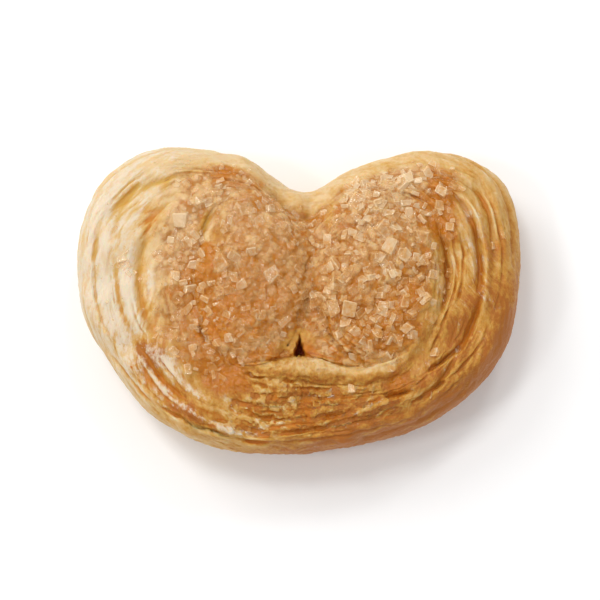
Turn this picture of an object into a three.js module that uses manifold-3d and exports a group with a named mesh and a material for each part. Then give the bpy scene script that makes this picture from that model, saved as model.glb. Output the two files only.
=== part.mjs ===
// A small palmier: a slice of puff pastry rolled in from both ends, so that two curls meet in a seam, baked
// in coarse sugar. Millimetres, +Z up. It lies flat on z = 0, the notch between its lobes points to +Y, and
// the origin is under the middle of its length and width.
import * as THREE from 'three';
import { mergeVertices } from 'three/addons/utils/BufferGeometryUtils.js';
import Module from 'manifold-3d';

// Driving sizes. The rim reaches make it 55 long and 38.3 wide, and the sugared curls bring it to 16.7 high.
const FACE_HEIGHT = 12.7;     // the upper face where it turns down into the wall
const CROWN = 1.1;            // how much higher the face is at the curls
const CURL_RISE = 1.9;        // each curl's dome over the face
const BULGE_HEIGHT = 6.6;     // where the wall reaches furthest out
const FOOT_INSET = 2.6;       // how far the wall turns in under the bulge
const SHOULDER = 3.2;         // how far the wall turns in over the bulge, on average
const SHOULDER_BACK = 0.9;    // more of it towards the notch
const SHOULDER_RIGHT = 0.6;   // more of it towards +X

// The eye is the small gap where the two curls and the spine meet. All directions are in degrees from +X
// about it. It is a tall three-cornered hole, sharper at a higher number of corners, whose floor and lip are
// given as parts of its size.
const EYE = { x: 0.05, y: -6.2, size: 0.80, corners: 5, stretch: 1.85, drop: 0.58, ragged: 0.10 };
const EYE_SIDES = [30, 150, -90];
const EYE_HOLE = { depth: 3.0, floor: 0.50, lip: 1.25 };

// The rim: how far the wall reaches from the eye, as [direction, reach].
const RIM = [
  [0, 25.4], [15, 28.1], [27, 30.7], [38, 32.8], [45, 32.4], [56, 29.8], [66, 26.0], [75, 23.1],
  [84, 20.1], [92, 20.0], [99, 22.0], [106, 25.0], [111, 26.3], [117, 28.3], [126, 30.8], [138, 32.0],
  [150, 31.2], [162, 28.9], [173, 26.6], [182, 23.9], [192, 21.9], [202, 20.3], [214, 18.1], [232, 15.6],
  [252, 13.6], [272, 12.8], [292, 13.2], [312, 15.1], [335, 19.4],
];

// The heart: the line round both curls and along the lower side of the spine, as [direction, reach].
const HEART = [
  [6, 15.7], [17, 18.1], [27, 19.9], [37, 21.2], [47, 22.4], [58, 21.8], [67, 19.6], [74, 17.3],
  [81, 14.4], [88, 12.6], [94, 14.0], [100, 16.4], [107, 18.8], [116, 19.4], [126, 18.2], [137, 16.2],
  [147, 14.8], [157, 13.6], [172, 11.8], [186, 9.9], [202, 7.8], [216, 6.4], [235, 5.1], [254, 4.5],
  [275, 4.5], [295, 5.3], [316, 7.0], [336, 10.8], [346, 13.0], [356, 14.4],
];

// The two rolled ends, seen from above: centre and half sizes of each dome.
const CURLS = [
  { x: -5.8, y: 1.7, halfLength: 6.6, halfWidth: 11.0 },
  { x: 9.5, y: 1.9, halfLength: 7.9, halfWidth: 10.8 },
];
const CURL_ROUNDNESS = 0.62;

// The seam between the curls runs from the eye to the notch, bowed towards +X.
const SEAM = { length: 21, bow: 1.5, depth: 0.35, halfWidth: 0.70, start: 1.5 };
const NOTCH = { x: 1.0, y: 12.5, drop: 3.0, radius: 4.2 };

// The spine: the pale band that holds the curls from below, from this upper edge to the heart's line, with a
// crease along the edge.
const SPINE_EDGE = [
  [40, 12.0], [120, 12.0], [170, 10.0], [190, 8.6], [200, 6.7], [208, 4.3], [217, 3.05], [235, 2.0],
  [254, 1.55], [270, 1.45], [288, 1.55], [305, 1.9], [318, 2.6], [326, 3.7], [332, 5.4], [338, 7.3],
  [346, 9.7], [353, 11.6], [360, 13.4],
];
const SPINE = { from: 200, to: 360, taper: 0.4, rise: 1.0, crease: 0.35, creaseHalfWidth: 0.32 };

// Folds of the dough: [ring from, ring to, direction from, direction to, depth, half width]. A ring is 0 on
// the heart's line, 1 where the face turns down, 2 at the bulge and 3 at the foot. A negative depth is a
// ridge. Both ends of a fold taper off; the lower the taper, the later.
const FOLD_TAPER = 0.6;
const FOLDS = [
  [0.12, 0.03, 120, 134, 0.48, 0.30],
  [1.00, 1.05, 144, 180, 0.30, 0.45],
  [0.91, 0.88, 146, 180, -0.24, 0.55],
  [0.80, 0.75, 154, 178, 0.33, 0.40],
  [0.68, 0.66, 148, 178, -0.24, 0.60],
  [0.57, 0.54, 140, 176, 0.54, 0.65],
  [0.43, 0.42, 148, 168, -0.21, 0.50],
  [0.96, 0.88, 148, 130, 0.48, 0.95],
  [0.82, 0.74, 152, 132, -0.30, 0.65],
  [0.65, 0.55, 144, 129, 0.45, 0.50],
  [0.88, 0.78, 137, 121, 0.24, 0.40],
  [0.79, 0.78, 179, 208, 0.54, 0.50],
  [0.62, 0.64, 180, 214, -0.21, 0.60],
  [1.57, 1.25, 181, 204, 0.36, 0.55],
  [1.20, 1.12, 200, 234, 0.70, 0.50],
  [1.12, 1.40, 230, 256, 0.51, 0.50],
  [0.88, 1.00, 202, 242, -0.50, 0.60],
  [0.30, 0.30, 232, 334, 0.38, 0.35],
  [0.50, 0.46, 218, 264, 0.42, 0.40],
  [0.62, 0.75, 222, 270, 0.51, 0.35],
  [0.75, 0.76, 266, 310, 0.42, 0.35],
  [0.48, 0.52, 283, 314, 0.47, 0.40],
  [0.98, 1.02, 240, 322, 0.42, 0.45],
  [0.84, 0.64, 302, 337, -0.45, 0.55],
  [0.97, 0.74, 300, 336, 0.38, 0.35],
  [0.50, 0.62, 328, 338, 0.90, 0.55],
  [0.03, 0.03, 12, 42, 1.10, 0.45],
  [0.66, 0.62, 48, 35, 0.60, 0.40],
  [0.63, 0.71, 38, 16, 0.90, 0.45],
  [0.80, 0.68, 17, -4, 0.70, 0.45],
  [0.68, 0.42, 0, -12, 0.90, 0.40],
  [0.50, 0.73, 54, 40, -0.45, 0.50],
  [0.73, 0.88, 43, 11, -0.50, 0.50],
  [0.98, 0.96, 44, 24, 0.45, 0.40],
  [0.92, 0.92, 332, 346, 0.60, 0.40],
  [0.92, 0.68, 342, 356, 0.60, 0.40],
  [1.70, 1.50, 300, 350, 0.35, 0.60],
  [1.45, 1.75, 20, 60, 0.35, 0.60],
  [1.60, 1.45, 112, 150, 0.18, 0.60],
  [2.30, 2.15, 205, 262, 0.40, 0.60],
  [2.20, 2.35, 280, 338, 0.35, 0.60],
  [2.35, 2.20, -8, 40, 0.40, 0.60],
  [2.20, 2.40, 48, 82, 0.40, 0.60],
  [2.30, 2.20, 100, 140, 0.35, 0.60],
  [2.15, 2.35, 150, 196, 0.40, 0.60],
];

// Slow unevenness of the face: [height, turns along X, turns along Y, phase], turns per 100 mm.
const LUMPS = [
  [0.22, 9.1, 4.3, 0.6],
  [0.18, -5.2, 11.7, 2.1],
  [0.12, 17.3, 9.6, 4.0],
  [0.10, 13.1, -19.4, 1.3],
];

// Slow unevenness of the wall: [depth, turns round the rim, turns from the face to the foot, phase].
const WALL_LUMPS = [
  [0.20, 5, 0.9, 0.4],
  [0.16, 9, -1.3, 2.6],
  [0.12, 14, 2.1, 4.4],
  [0.08, 23, -1.7, 1.1],
];

// The largest sugar crystals, which are fused to the dough: how many lie on each curl and on the fold at its
// left, and their half length. Each is a block with its corners moved a little.
const SUGAR_FIELDS = [
  { x: -5.6, y: 1.6, halfLength: 6.0, halfWidth: 10.0, count: 34 },
  { x: 9.4, y: 1.6, halfLength: 7.4, halfWidth: 10.2, count: 46 },
  { x: -14.0, y: 3.2, halfLength: 1.6, halfWidth: 8.0, count: 8 },
];
const CRYSTAL = {
  smallest: 0.5, largest: 1.05, narrowest: 0.65, flatness: 0.5, skew: 0.22, lean: 0.4, lift: 0.1,
};

// How finely the surface is divided. Near the eye the rings are about this far apart, times their number.
const DIRECTIONS = 96;
const HEART_RINGS = 9;
const EYE_SPREAD = 3.2;
const FACE_RINGS = 16;
const SHOULDER_RINGS = 5;
const FOOT_RINGS = 4;

const DEGREE = Math.PI / 180;
const clamp = (value, low, high) => Math.min(high, Math.max(low, value));
const smooth = (value) => { const t = clamp(value, 0, 1); return t * t * (3 - 2 * t); };
const bell = (offset, halfWidth) => Math.exp(-((offset / halfWidth) ** 2));
const turn = (degrees) => ((degrees % 360) + 360) % 360;

// The reach of a closed line in a direction: a smooth curve through its [direction, reach] points.
function reach(line, direction) {
  const count = line.length;
  const angle = turn(direction - line[0][0]) + line[0][0];
  let index = count - 1;
  while (line[index][0] > angle) index -= 1;
  const before = line[(index + count - 1) % count];
  const here = line[index];
  const next = line[(index + 1) % count];
  const after = line[(index + 2) % count];
  const step = turn(next[0] - here[0]);
  const slopeHere = (next[1] - before[1]) / turn(next[0] - before[0]);
  const slopeNext = (after[1] - here[1]) / turn(after[0] - here[0]);
  const t = (angle - here[0]) / step;
  return (2 * t ** 3 - 3 * t ** 2 + 1) * here[1] + (t ** 3 - 2 * t ** 2 + t) * step * slopeHere
    + (3 * t ** 2 - 2 * t ** 3) * next[1] + (t ** 3 - t ** 2) * step * slopeNext;
}

// The measures that one direction has: rim, face edge and heart.
function measures(direction) {
  const rim = reach(RIM, direction);
  const shoulder = SHOULDER + SHOULDER_BACK * Math.sin(direction * DEGREE)
    + SHOULDER_RIGHT * Math.cos(direction * DEGREE);
  const heart = reach(HEART, direction);
  return { rim, shoulder, heart, face: rim - shoulder };
}

// Slow lumps of the dough at a point seen from above.
function lumps(x, y) {
  let height = 0;
  for (const [size, alongX, alongY, phase] of LUMPS) {
    height += size * Math.sin((alongX * x + alongY * y) * 0.02 * Math.PI + phase);
  }
  return height;
}

// How far a direction is along an arc that starts at one direction and ends at another, either way round.
function along(direction, from, to) {
  const middle = (from + to) / 2;
  const offset = turn(direction - middle + 180) - 180;
  return (middle + offset - from) / (to - from);
}

// How deep the folds are at a ring and direction; span is the length of one ring unit there.
function foldDepth(ring, direction, span) {
  let depth = 0;
  for (const [ringFrom, ringTo, from, to, size, halfWidth] of FOLDS) {
    const part = along(direction, from, to);
    if (part <= 0 || part >= 1) continue;
    const offset = (ring - (ringFrom + (ringTo - ringFrom) * part)) * span;
    depth += size * bell(offset, halfWidth) * Math.sin(Math.PI * part) ** FOLD_TAPER;
  }
  return depth;
}

// How far the spine rises at a direction and distance from the eye; its crease lies below 0.
function spineRise(direction, distance, heart) {
  const part = along(direction, SPINE.from, SPINE.to);
  if (part <= 0 || part >= 1) return 0;
  const edge = reach(SPINE_EDGE, direction);
  const crown = Math.sin(Math.PI * clamp((distance - edge) / Math.max(heart - edge, 0.5), 0, 1)) ** 0.8;
  const crease = bell(distance - edge + 0.15, SPINE.creaseHalfWidth);
  return Math.sin(Math.PI * part) ** SPINE.taper * (SPINE.rise * crown - SPINE.crease * crease);
}

// 0 on the floor of the eye's hole and 1 on its lip, at a point seen from above.
function eyePart(x, y) {
  const across = (x - EYE.x) * EYE.stretch;
  const up = y - EYE.y + EYE.drop;
  let total = 0;
  for (const side of EYE_SIDES) {
    total += Math.max(0, across * Math.cos(side * DEGREE) + up * Math.sin(side * DEGREE)) ** EYE.corners;
  }
  const rag = 1 + EYE.ragged * Math.sin(7 * Math.atan2(up, across) + 0.8);
  return ((total ** (1 / EYE.corners) / EYE.size) * rag - EYE_HOLE.floor) / (EYE_HOLE.lip - EYE_HOLE.floor);
}

// The height of the upper face at a direction and distance from the eye.
function faceHeight(direction, distance) {
  const { heart, face } = measures(direction);
  const x = EYE.x + distance * Math.cos(direction * DEGREE);
  const y = EYE.y + distance * Math.sin(direction * DEGREE);
  const ring = (distance - heart) / (face - heart);
  let height = FACE_HEIGHT + CROWN * (1 - clamp(ring, 0, 1) ** 2) + lumps(x, y);
  for (const curl of CURLS) {
    const inside = 1 - ((x - curl.x) / curl.halfLength) ** 2 - ((y - curl.y) / curl.halfWidth) ** 2;
    height += CURL_RISE * Math.max(0, inside) ** CURL_ROUNDNESS;
  }
  const seamPart = clamp((y - EYE.y) / SEAM.length, 0, 1);
  const seamX = EYE.x + SEAM.bow * Math.sin(Math.PI * seamPart);
  height -= SEAM.depth * bell(x - seamX, SEAM.halfWidth) * smooth((y - EYE.y) / SEAM.start);
  height -= NOTCH.drop * bell(Math.hypot(x - NOTCH.x, y - NOTCH.y), NOTCH.radius);
  height += spineRise(direction, distance, heart) - EYE_HOLE.depth * (1 - smooth(eyePart(x, y)));
  return height - foldDepth(ring, direction, face - heart);
}

// How far the wall lies in at a ring and direction. It is true to size at the bulge and at both its ends.
function wallDepth(ring, direction, span) {
  let depth = foldDepth(ring, direction, span);
  for (const [size, turnsRound, turnsDown, phase] of WALL_LUMPS) {
    const wave = turnsRound * direction * DEGREE + turnsDown * Math.PI * ring + phase;
    depth += size * Math.sin(wave) * Math.sin(Math.PI * ring) ** 2;
  }
  return depth;
}

// Distance from the eye and height of the surface at a ring and direction, from the heart's line outwards or,
// below 0, inwards to the eye at -1.
function section(ring, direction) {
  const { rim, shoulder, heart, face } = measures(direction);
  if (ring < 0) {
    const part = 1 + ring;
    const distance = part * ((1 - part) * EYE_SPREAD + part * heart);
    return { distance, height: faceHeight(direction, distance) };
  }
  if (ring <= 1) {
    const distance = heart + (face - heart) * ring;
    return { distance, height: faceHeight(direction, distance) };
  }
  const edge = faceHeight(direction, face) + foldDepth(1, direction, face - heart);
  const quarter = Math.PI / 4;
  if (ring <= 2) {
    const angle = (ring - 1) * 90 * DEGREE;
    const depth = wallDepth(ring, direction, quarter * (shoulder + edge - BULGE_HEIGHT));
    return {
      distance: face + (shoulder - depth) * Math.sin(angle),
      height: BULGE_HEIGHT + (edge - BULGE_HEIGHT - depth) * Math.cos(angle),
    };
  }
  const angle = (ring - 2) * 90 * DEGREE;
  const depth = wallDepth(ring, direction, quarter * (FOOT_INSET + BULGE_HEIGHT));
  return {
    distance: rim - FOOT_INSET * (1 - Math.cos(angle)) - depth * Math.cos(angle),
    height: ring < 3 ? BULGE_HEIGHT * (1 - Math.sin(angle)) : 0,
  };
}

// The rings from the first one round the eye to the foot.
function ringValues() {
  const rings = [];
  for (let i = 1; i < HEART_RINGS; i += 1) rings.push(i / HEART_RINGS - 1);
  for (let i = 0; i < FACE_RINGS; i += 1) rings.push(i / FACE_RINGS);
  for (let i = 0; i < SHOULDER_RINGS; i += 1) rings.push(1 + i / SHOULDER_RINGS);
  for (let i = 0; i <= FOOT_RINGS; i += 1) rings.push(2 + i / FOOT_RINGS);
  return rings;
}

// The dough as one closed shell: rings of points round the eye, closed over the eye and flat underneath.
function doughGeometry() {
  const rings = ringValues();
  const positions = [];
  for (const ring of rings) {
    for (let i = 0; i < DIRECTIONS; i += 1) {
      const direction = (i * 360) / DIRECTIONS;
      const { distance, height } = section(ring, direction);
      positions.push(
        EYE.x + distance * Math.cos(direction * DEGREE),
        EYE.y + distance * Math.sin(direction * DEGREE),
        height,
      );
    }
  }
  const top = rings.length * DIRECTIONS;
  positions.push(EYE.x, EYE.y, faceHeight(0, 0), EYE.x, EYE.y, 0);
  const indices = [];
  for (let i = 0; i < DIRECTIONS; i += 1) {
    const next = (i + 1) % DIRECTIONS;
    indices.push(top, i, next);
    for (let row = 0; row + 1 < rings.length; row += 1) {
      const inner = row * DIRECTIONS;
      const outer = inner + DIRECTIONS;
      indices.push(inner + i, outer + i, outer + next, inner + i, outer + next, inner + next);
    }
    const foot = top - DIRECTIONS;
    indices.push(top + 1, foot + next, foot + i);
  }
  const geometry = new THREE.BufferGeometry();
  geometry.setAttribute('position', new THREE.Float32BufferAttribute(positions, 3));
  geometry.setIndex(indices);
  return geometry;
}

// A repeatable number from 0 to 1 for a crystal and a purpose.
function chance(number, purpose) {
  const wave = Math.sin(number * 12.9898 + purpose * 78.233) * 43758.5453;
  return wave - Math.floor(wave);
}

// One sugar crystal: a flat block with uneven corners.
function crystalGeometry(number) {
  const half = CRYSTAL.smallest + (CRYSTAL.largest - CRYSTAL.smallest) * chance(number, 1) ** 2;
  const narrowness = CRYSTAL.narrowest + (1 - CRYSTAL.narrowest) * chance(number, 2);
  const sides = [half, half * narrowness, half * CRYSTAL.flatness];
  const geometry = new THREE.BoxGeometry(2 * sides[0], 2 * sides[1], 2 * sides[2]);
  geometry.deleteAttribute('normal');
  geometry.deleteAttribute('uv');
  const block = mergeVertices(geometry);
  const corners = block.getAttribute('position');
  for (let i = 0; i < corners.count; i += 1) {
    const move = (axis) => 1 + CRYSTAL.skew * (2 * chance(number * 8 + i, 10 + axis) - 1);
    corners.setXYZ(i, corners.getX(i) * move(0), corners.getY(i) * move(1), corners.getZ(i) * move(2));
  }
  block.rotateX(CRYSTAL.lean * (2 * chance(number, 3) - 1));
  block.rotateY(CRYSTAL.lean * (2 * chance(number, 4) - 1));
  block.rotateZ(2 * Math.PI * chance(number, 5));
  return block;
}

// Where the crystals lie: each field is filled by a spiral of even density.
function crystalPlaces() {
  const places = [];
  const goldenAngle = Math.PI * (3 - Math.sqrt(5));
  for (const field of SUGAR_FIELDS) {
    for (let i = 0; i < field.count; i += 1) {
      const radius = Math.sqrt((i + 0.5) / field.count);
      const angle = i * goldenAngle + field.x;
      places.push({
        x: field.x + field.halfLength * radius * Math.cos(angle),
        y: field.y + field.halfWidth * radius * Math.sin(angle),
      });
    }
  }
  return places;
}

// The sugar crystals, each sunk about half into the dough.
function crystalGeometries() {
  return crystalPlaces().map((place, number) => {
    const distance = Math.hypot(place.x - EYE.x, place.y - EYE.y);
    const direction = Math.atan2(place.y - EYE.y, place.x - EYE.x) / DEGREE;
    const height = faceHeight(direction, distance) + CRYSTAL.lift;
    return crystalGeometry(number).translate(place.x, place.y, height);
  });
}

const wasm = await Module();
wasm.setup();

// A closed geometry as a solid that can be joined.
function solid(geometry) {
  const merged = mergeVertices(geometry);
  return new wasm.Manifold(new wasm.Mesh({
    numProp: 3,
    vertProperties: Float32Array.from(merged.getAttribute('position').array),
    triVerts: Uint32Array.from(merged.getIndex().array),
  }));
}

// The dough with its crystals as one geometry.
function palmierGeometry() {
  let whole = solid(doughGeometry());
  for (const crystal of crystalGeometries()) whole = whole.add(solid(crystal));
  const mesh = whole.getMesh();
  const geometry = new THREE.BufferGeometry();
  geometry.setAttribute('position', new THREE.Float32BufferAttribute(mesh.vertProperties, 3));
  geometry.setIndex(Array.from(mesh.triVerts));
  geometry.computeVertexNormals();
  return geometry;
}

const crust = new THREE.MeshStandardMaterial({ color: 0xd8a86a, roughness: 0.6, metalness: 0 });
const palmier = new THREE.Mesh(palmierGeometry(), crust);
palmier.name = 'palmier';

const group = new THREE.Group();
group.add(palmier);

export default group;
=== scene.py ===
"""The look of a small palmier: flaky pastry in two curls, coarse sugar, a pale floor and soft light."""

import logging
import math
from dataclasses import dataclass, field
from itertools import product

import bmesh
import bpy
import numpy as np
from mathutils import Euler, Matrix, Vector


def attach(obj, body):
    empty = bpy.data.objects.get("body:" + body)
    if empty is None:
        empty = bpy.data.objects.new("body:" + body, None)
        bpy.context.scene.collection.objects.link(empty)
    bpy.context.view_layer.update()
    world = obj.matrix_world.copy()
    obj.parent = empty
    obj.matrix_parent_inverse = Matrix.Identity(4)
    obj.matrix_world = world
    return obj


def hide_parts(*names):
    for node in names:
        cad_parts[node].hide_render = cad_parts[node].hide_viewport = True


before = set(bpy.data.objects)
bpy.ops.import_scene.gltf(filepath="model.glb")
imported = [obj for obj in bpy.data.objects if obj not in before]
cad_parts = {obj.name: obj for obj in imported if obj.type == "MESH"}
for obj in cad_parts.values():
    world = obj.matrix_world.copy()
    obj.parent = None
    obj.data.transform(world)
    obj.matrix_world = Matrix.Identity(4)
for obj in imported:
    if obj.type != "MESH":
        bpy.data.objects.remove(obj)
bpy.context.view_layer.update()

log = logging.getLogger("palmier")

MM = 0.001
NODE = "palmier"
BODY = "root"

Array = np.ndarray
Colour = tuple[float, float, float]
Socket = bpy.types.NodeSocket


def clamp(value: Array, low: float = 0.0, high: float = 1.0) -> Array:
    """Values kept between a lowest and a highest one."""
    return np.clip(value, low, high)


def smooth(value: Array) -> Array:
    """A soft step from 0 to 1 as the value goes from 0 to 1."""
    part = clamp(value)
    return part * part * (3 - 2 * part)


def bell(offset: Array, half_width: float) -> Array:
    """A bump of height 1 that has died down to a third at its half width."""
    return np.exp(-((offset / half_width) ** 2))


def ease(value: Array, start: float, width: float) -> Array:
    """A soft step from 0 at a start to 1 a width further on, or further back for a negative width."""
    return smooth((value - start) / width)


def turn(degrees: Array) -> Array:
    """An angle brought into 0 to 360 degrees."""
    return np.mod(degrees, 360.0)


def chance(number: Array, purpose: float) -> Array:
    """A repeatable number from 0 to 1 for a piece and a purpose."""
    wave = np.sin(number * 12.9898 + purpose * 78.233) * 43758.5453
    return wave - np.floor(wave)


def noise(points: list[Array], seed: int) -> Array:
    """Smooth noise from -1 to 1 on a lattice of unit cells.

    Args:
        points: three arrays of coordinates, in cells.
        seed: which of many such noises.

    Returns:
        The noise at each point.
    """
    points = np.broadcast_arrays(*points)
    cells = [np.floor(axis).astype(np.int64) for axis in points]
    parts = [smooth(axis - cell) for axis, cell in zip(points, cells)]
    total = np.zeros(points[0].shape)
    for corner in product((0, 1), repeat=3):
        mixed = np.full(total.shape, seed * 1013904223 & 0xFFFFFFFF, np.int64)
        weight = np.ones(total.shape)
        for cell, part, step, prime in zip(cells, parts, corner, (374761393, 668265263, 2246822519)):
            mixed = (mixed ^ ((cell + step) * prime & 0xFFFFFFFF)) * 1274126177 & 0xFFFFFFFF
            mixed ^= mixed >> 15
            weight *= part if step else 1 - part
        total += weight * ((mixed >> 8 & 0xFFFF) / 32767.5 - 1)
    return total


def flat_noise(x: Array, y: Array, size: float, seed: int, level: float = 0.0) -> Array:
    """Smooth noise over the upper face, in cells of a size in mm, with its own for each level."""
    return noise([x / size, y / size, x * 0 + level], seed)


def series(kind: type, *rows: tuple) -> tuple:
    """Things of one kind, each made from a row of its values."""
    return tuple(kind(*row) for row in rows)


@dataclass(frozen=True)
class ClosedLine:
    """A closed line round the eye, smooth through points: each a direction in degrees and a reach in mm."""

    points: tuple[tuple[float, float], ...]

    def reach(self, direction: Array) -> Array:
        """How far the line is from the eye.

        Args:
            direction: directions in degrees, from +X about the eye.

        Returns:
            The reach in each direction, in mm.
        """
        angles, reaches = np.array(self.points).T
        count = len(angles)
        shifted = turn(direction - angles[0]) + angles[0]
        here = np.searchsorted(angles, shifted, side="right") - 1
        before, following, after = (here - 1) % count, (here + 1) % count, (here + 2) % count
        step = turn(angles[following] - angles[here])
        slope_here = (reaches[following] - reaches[before]) / turn(angles[following] - angles[before])
        slope_next = (reaches[after] - reaches[here]) / turn(angles[after] - angles[here])
        t = (shifted - angles[here]) / step
        return (
            (2 * t**3 - 3 * t**2 + 1) * reaches[here]
            + (t**3 - 2 * t**2 + t) * step * slope_here
            + (3 * t**2 - 2 * t**3) * reaches[following]
            + (t**3 - t**2) * step * slope_next
        )


RIM = ClosedLine((
    (0, 25.4), (15, 28.1), (27, 30.7), (38, 32.8), (45, 32.4), (56, 29.8), (66, 26.0), (75, 23.1),
    (84, 20.1), (92, 20.0), (99, 22.0), (106, 25.0), (111, 26.3), (117, 28.3), (126, 30.8), (138, 32.0),
    (150, 31.2), (162, 28.9), (173, 26.6), (182, 23.9), (192, 21.9), (202, 20.3), (214, 18.1), (232, 15.6),
    (252, 13.6), (272, 12.8), (292, 13.2), (312, 15.1), (335, 19.4),
))

HEART = ClosedLine((
    (6, 15.7), (17, 18.1), (27, 19.9), (37, 21.2), (47, 22.4), (58, 21.8), (67, 19.6), (74, 17.3),
    (81, 14.4), (88, 12.6), (94, 14.0), (100, 16.4), (107, 18.8), (116, 19.4), (126, 18.2), (137, 16.2),
    (147, 14.8), (157, 13.6), (172, 11.8), (186, 9.9), (202, 7.8), (216, 6.4), (235, 5.1), (254, 4.5),
    (275, 4.5), (295, 5.3), (316, 7.0), (336, 10.8), (346, 13.0), (356, 14.4),
))

SPINE_EDGE = ClosedLine((
    (40, 12.0), (120, 12.0), (170, 10.0), (190, 8.6), (200, 6.7), (208, 4.3), (217, 3.05), (235, 2.0),
    (254, 1.55), (270, 1.45), (288, 1.55), (305, 1.9), (318, 2.6), (326, 3.7), (332, 5.4), (338, 7.3),
    (346, 9.7), (353, 11.6), (360, 13.4),
))


@dataclass(frozen=True)
class Curl:
    """One rolled end, a dome seen from above: its centre and half sizes in mm."""

    x: float
    y: float
    half_length: float
    half_width: float

    def spread(self, x: Array, y: Array) -> Array:
        """0 at the centre of the dome and 1 on its edge."""
        return np.hypot((x - self.x) / self.half_length, (y - self.y) / self.half_width)

    def angle(self, x: Array, y: Array) -> Array:
        """The direction from the dome's centre, in degrees."""
        across, run = (y - self.y) / self.half_width, (x - self.x) / self.half_length
        return turn(np.degrees(np.arctan2(across, run)))


LEFT_CURL = Curl(-5.8, 1.7, 6.6, 11.0)
RIGHT_CURL = Curl(9.5, 1.9, 7.9, 10.8)
CURL_ROUNDNESS = 0.62


def along(direction: Array, start: float, end: float) -> Array:
    """How far a direction is along an arc from start to end, either way round, as a part of it."""
    middle = (start + end) / 2
    offset = turn(direction - middle + 180) - 180
    return (middle + offset - start) / (end - start)


def taper(part: Array, power: float) -> Array:
    """1 along the middle of an arc and 0 outside it, falling off late at a low power."""
    inside = (part > 0) & (part < 1)
    return np.where(inside, np.sin(np.pi * clamp(part)) ** power, 0.0)


@dataclass(frozen=True)
class Fold:
    """A crease of the dough, or a ridge where the depth is negative.

    Rings are 0 on the heart's line, 1 where the face turns down, 2 at the bulge and 3 at the foot. It runs
    from one ring and direction to another. Depth and half width are in mm, and the last value is how brown it
    is, from stain and painted shade in the crease together.
    """

    ring_from: float
    ring_to: float
    start: float
    end: float
    depth: float
    half_width: float
    stain: float = 0.5

    def line(self, direction: Array) -> tuple[Array, Array]:
        """How far along the fold each direction is, and the fold's ring there."""
        part = along(direction, self.start, self.end)
        return part, self.ring_from + (self.ring_to - self.ring_from) * part


FOLDS = series(
    Fold,
    (0.12, 0.03, 120, 134, 0.48, 0.3, 0.75), (1.0, 1.05, 144, 180, 0.3, 0.45, 0.35),
    (0.91, 0.88, 146, 180, -0.24, 0.55), (0.8, 0.75, 154, 178, 0.33, 0.4, 0.55),
    (0.68, 0.66, 148, 178, -0.24, 0.6), (0.57, 0.54, 140, 176, 0.54, 0.65, 0.6),
    (0.43, 0.42, 148, 168, -0.21, 0.5), (0.96, 0.88, 148, 130, 0.48, 0.95, 0.25),
    (0.82, 0.74, 152, 132, -0.3, 0.65), (0.65, 0.55, 144, 129, 0.45, 0.5, 0.65),
    (0.88, 0.78, 137, 121, 0.24, 0.4, 0.6), (0.79, 0.78, 179, 208, 0.54, 0.5, 0.8),
    (0.62, 0.64, 180, 214, -0.21, 0.6), (1.57, 1.25, 181, 204, 0.36, 0.55, 0.6),
    (1.2, 1.12, 200, 234, 0.7, 0.5, 0.8), (1.12, 1.4, 230, 256, 0.51, 0.5, 0.7),
    (0.88, 1.0, 202, 242, -0.5, 0.6), (0.3, 0.3, 232, 334, 0.38, 0.35, 0.55),
    (0.5, 0.46, 218, 264, 0.42, 0.4, 0.7), (0.62, 0.75, 222, 270, 0.51, 0.35, 0.9),
    (0.75, 0.76, 266, 310, 0.42, 0.35, 0.8), (0.48, 0.52, 283, 314, 0.47, 0.4, 0.8),
    (0.98, 1.02, 240, 322, 0.42, 0.45, 0.45), (0.84, 0.64, 302, 337, -0.45, 0.55),
    (0.97, 0.74, 300, 336, 0.38, 0.35, 0.6), (0.5, 0.62, 328, 338, 0.9, 0.55, 0.95),
    (0.03, 0.03, 12, 42, 1.1, 0.45, 0.95), (0.66, 0.62, 48, 35, 0.6, 0.4, 0.6),
    (0.63, 0.71, 38, 16, 0.9, 0.45, 0.75), (0.8, 0.68, 17, -4, 0.7, 0.45, 0.9),
    (0.68, 0.42, 0, -12, 0.9, 0.4, 0.7), (0.5, 0.73, 54, 40, -0.45, 0.5), (0.73, 0.88, 43, 11, -0.5, 0.5),
    (0.98, 0.96, 44, 24, 0.45, 0.4, 0.5), (0.92, 0.92, 332, 346, 0.6, 0.4, 0.65),
    (0.92, 0.68, 342, 356, 0.6, 0.4, 0.55), (1.7, 1.5, 300, 350, 0.35, 0.6, 0.25),
    (1.45, 1.75, 20, 60, 0.35, 0.6, 0.25), (1.6, 1.45, 112, 150, 0.18, 0.6, 0.2),
    (2.3, 2.15, 205, 262, 0.4, 0.6, 0.25), (2.2, 2.35, 280, 338, 0.35, 0.6, 0.25),
    (2.35, 2.2, -8, 40, 0.4, 0.6, 0.25), (2.2, 2.4, 48, 82, 0.4, 0.6, 0.25),
    (2.3, 2.2, 100, 140, 0.35, 0.6, 0.25), (2.15, 2.35, 150, 196, 0.4, 0.6, 0.25),
)
FOLD_TAPER = 0.6

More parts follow.
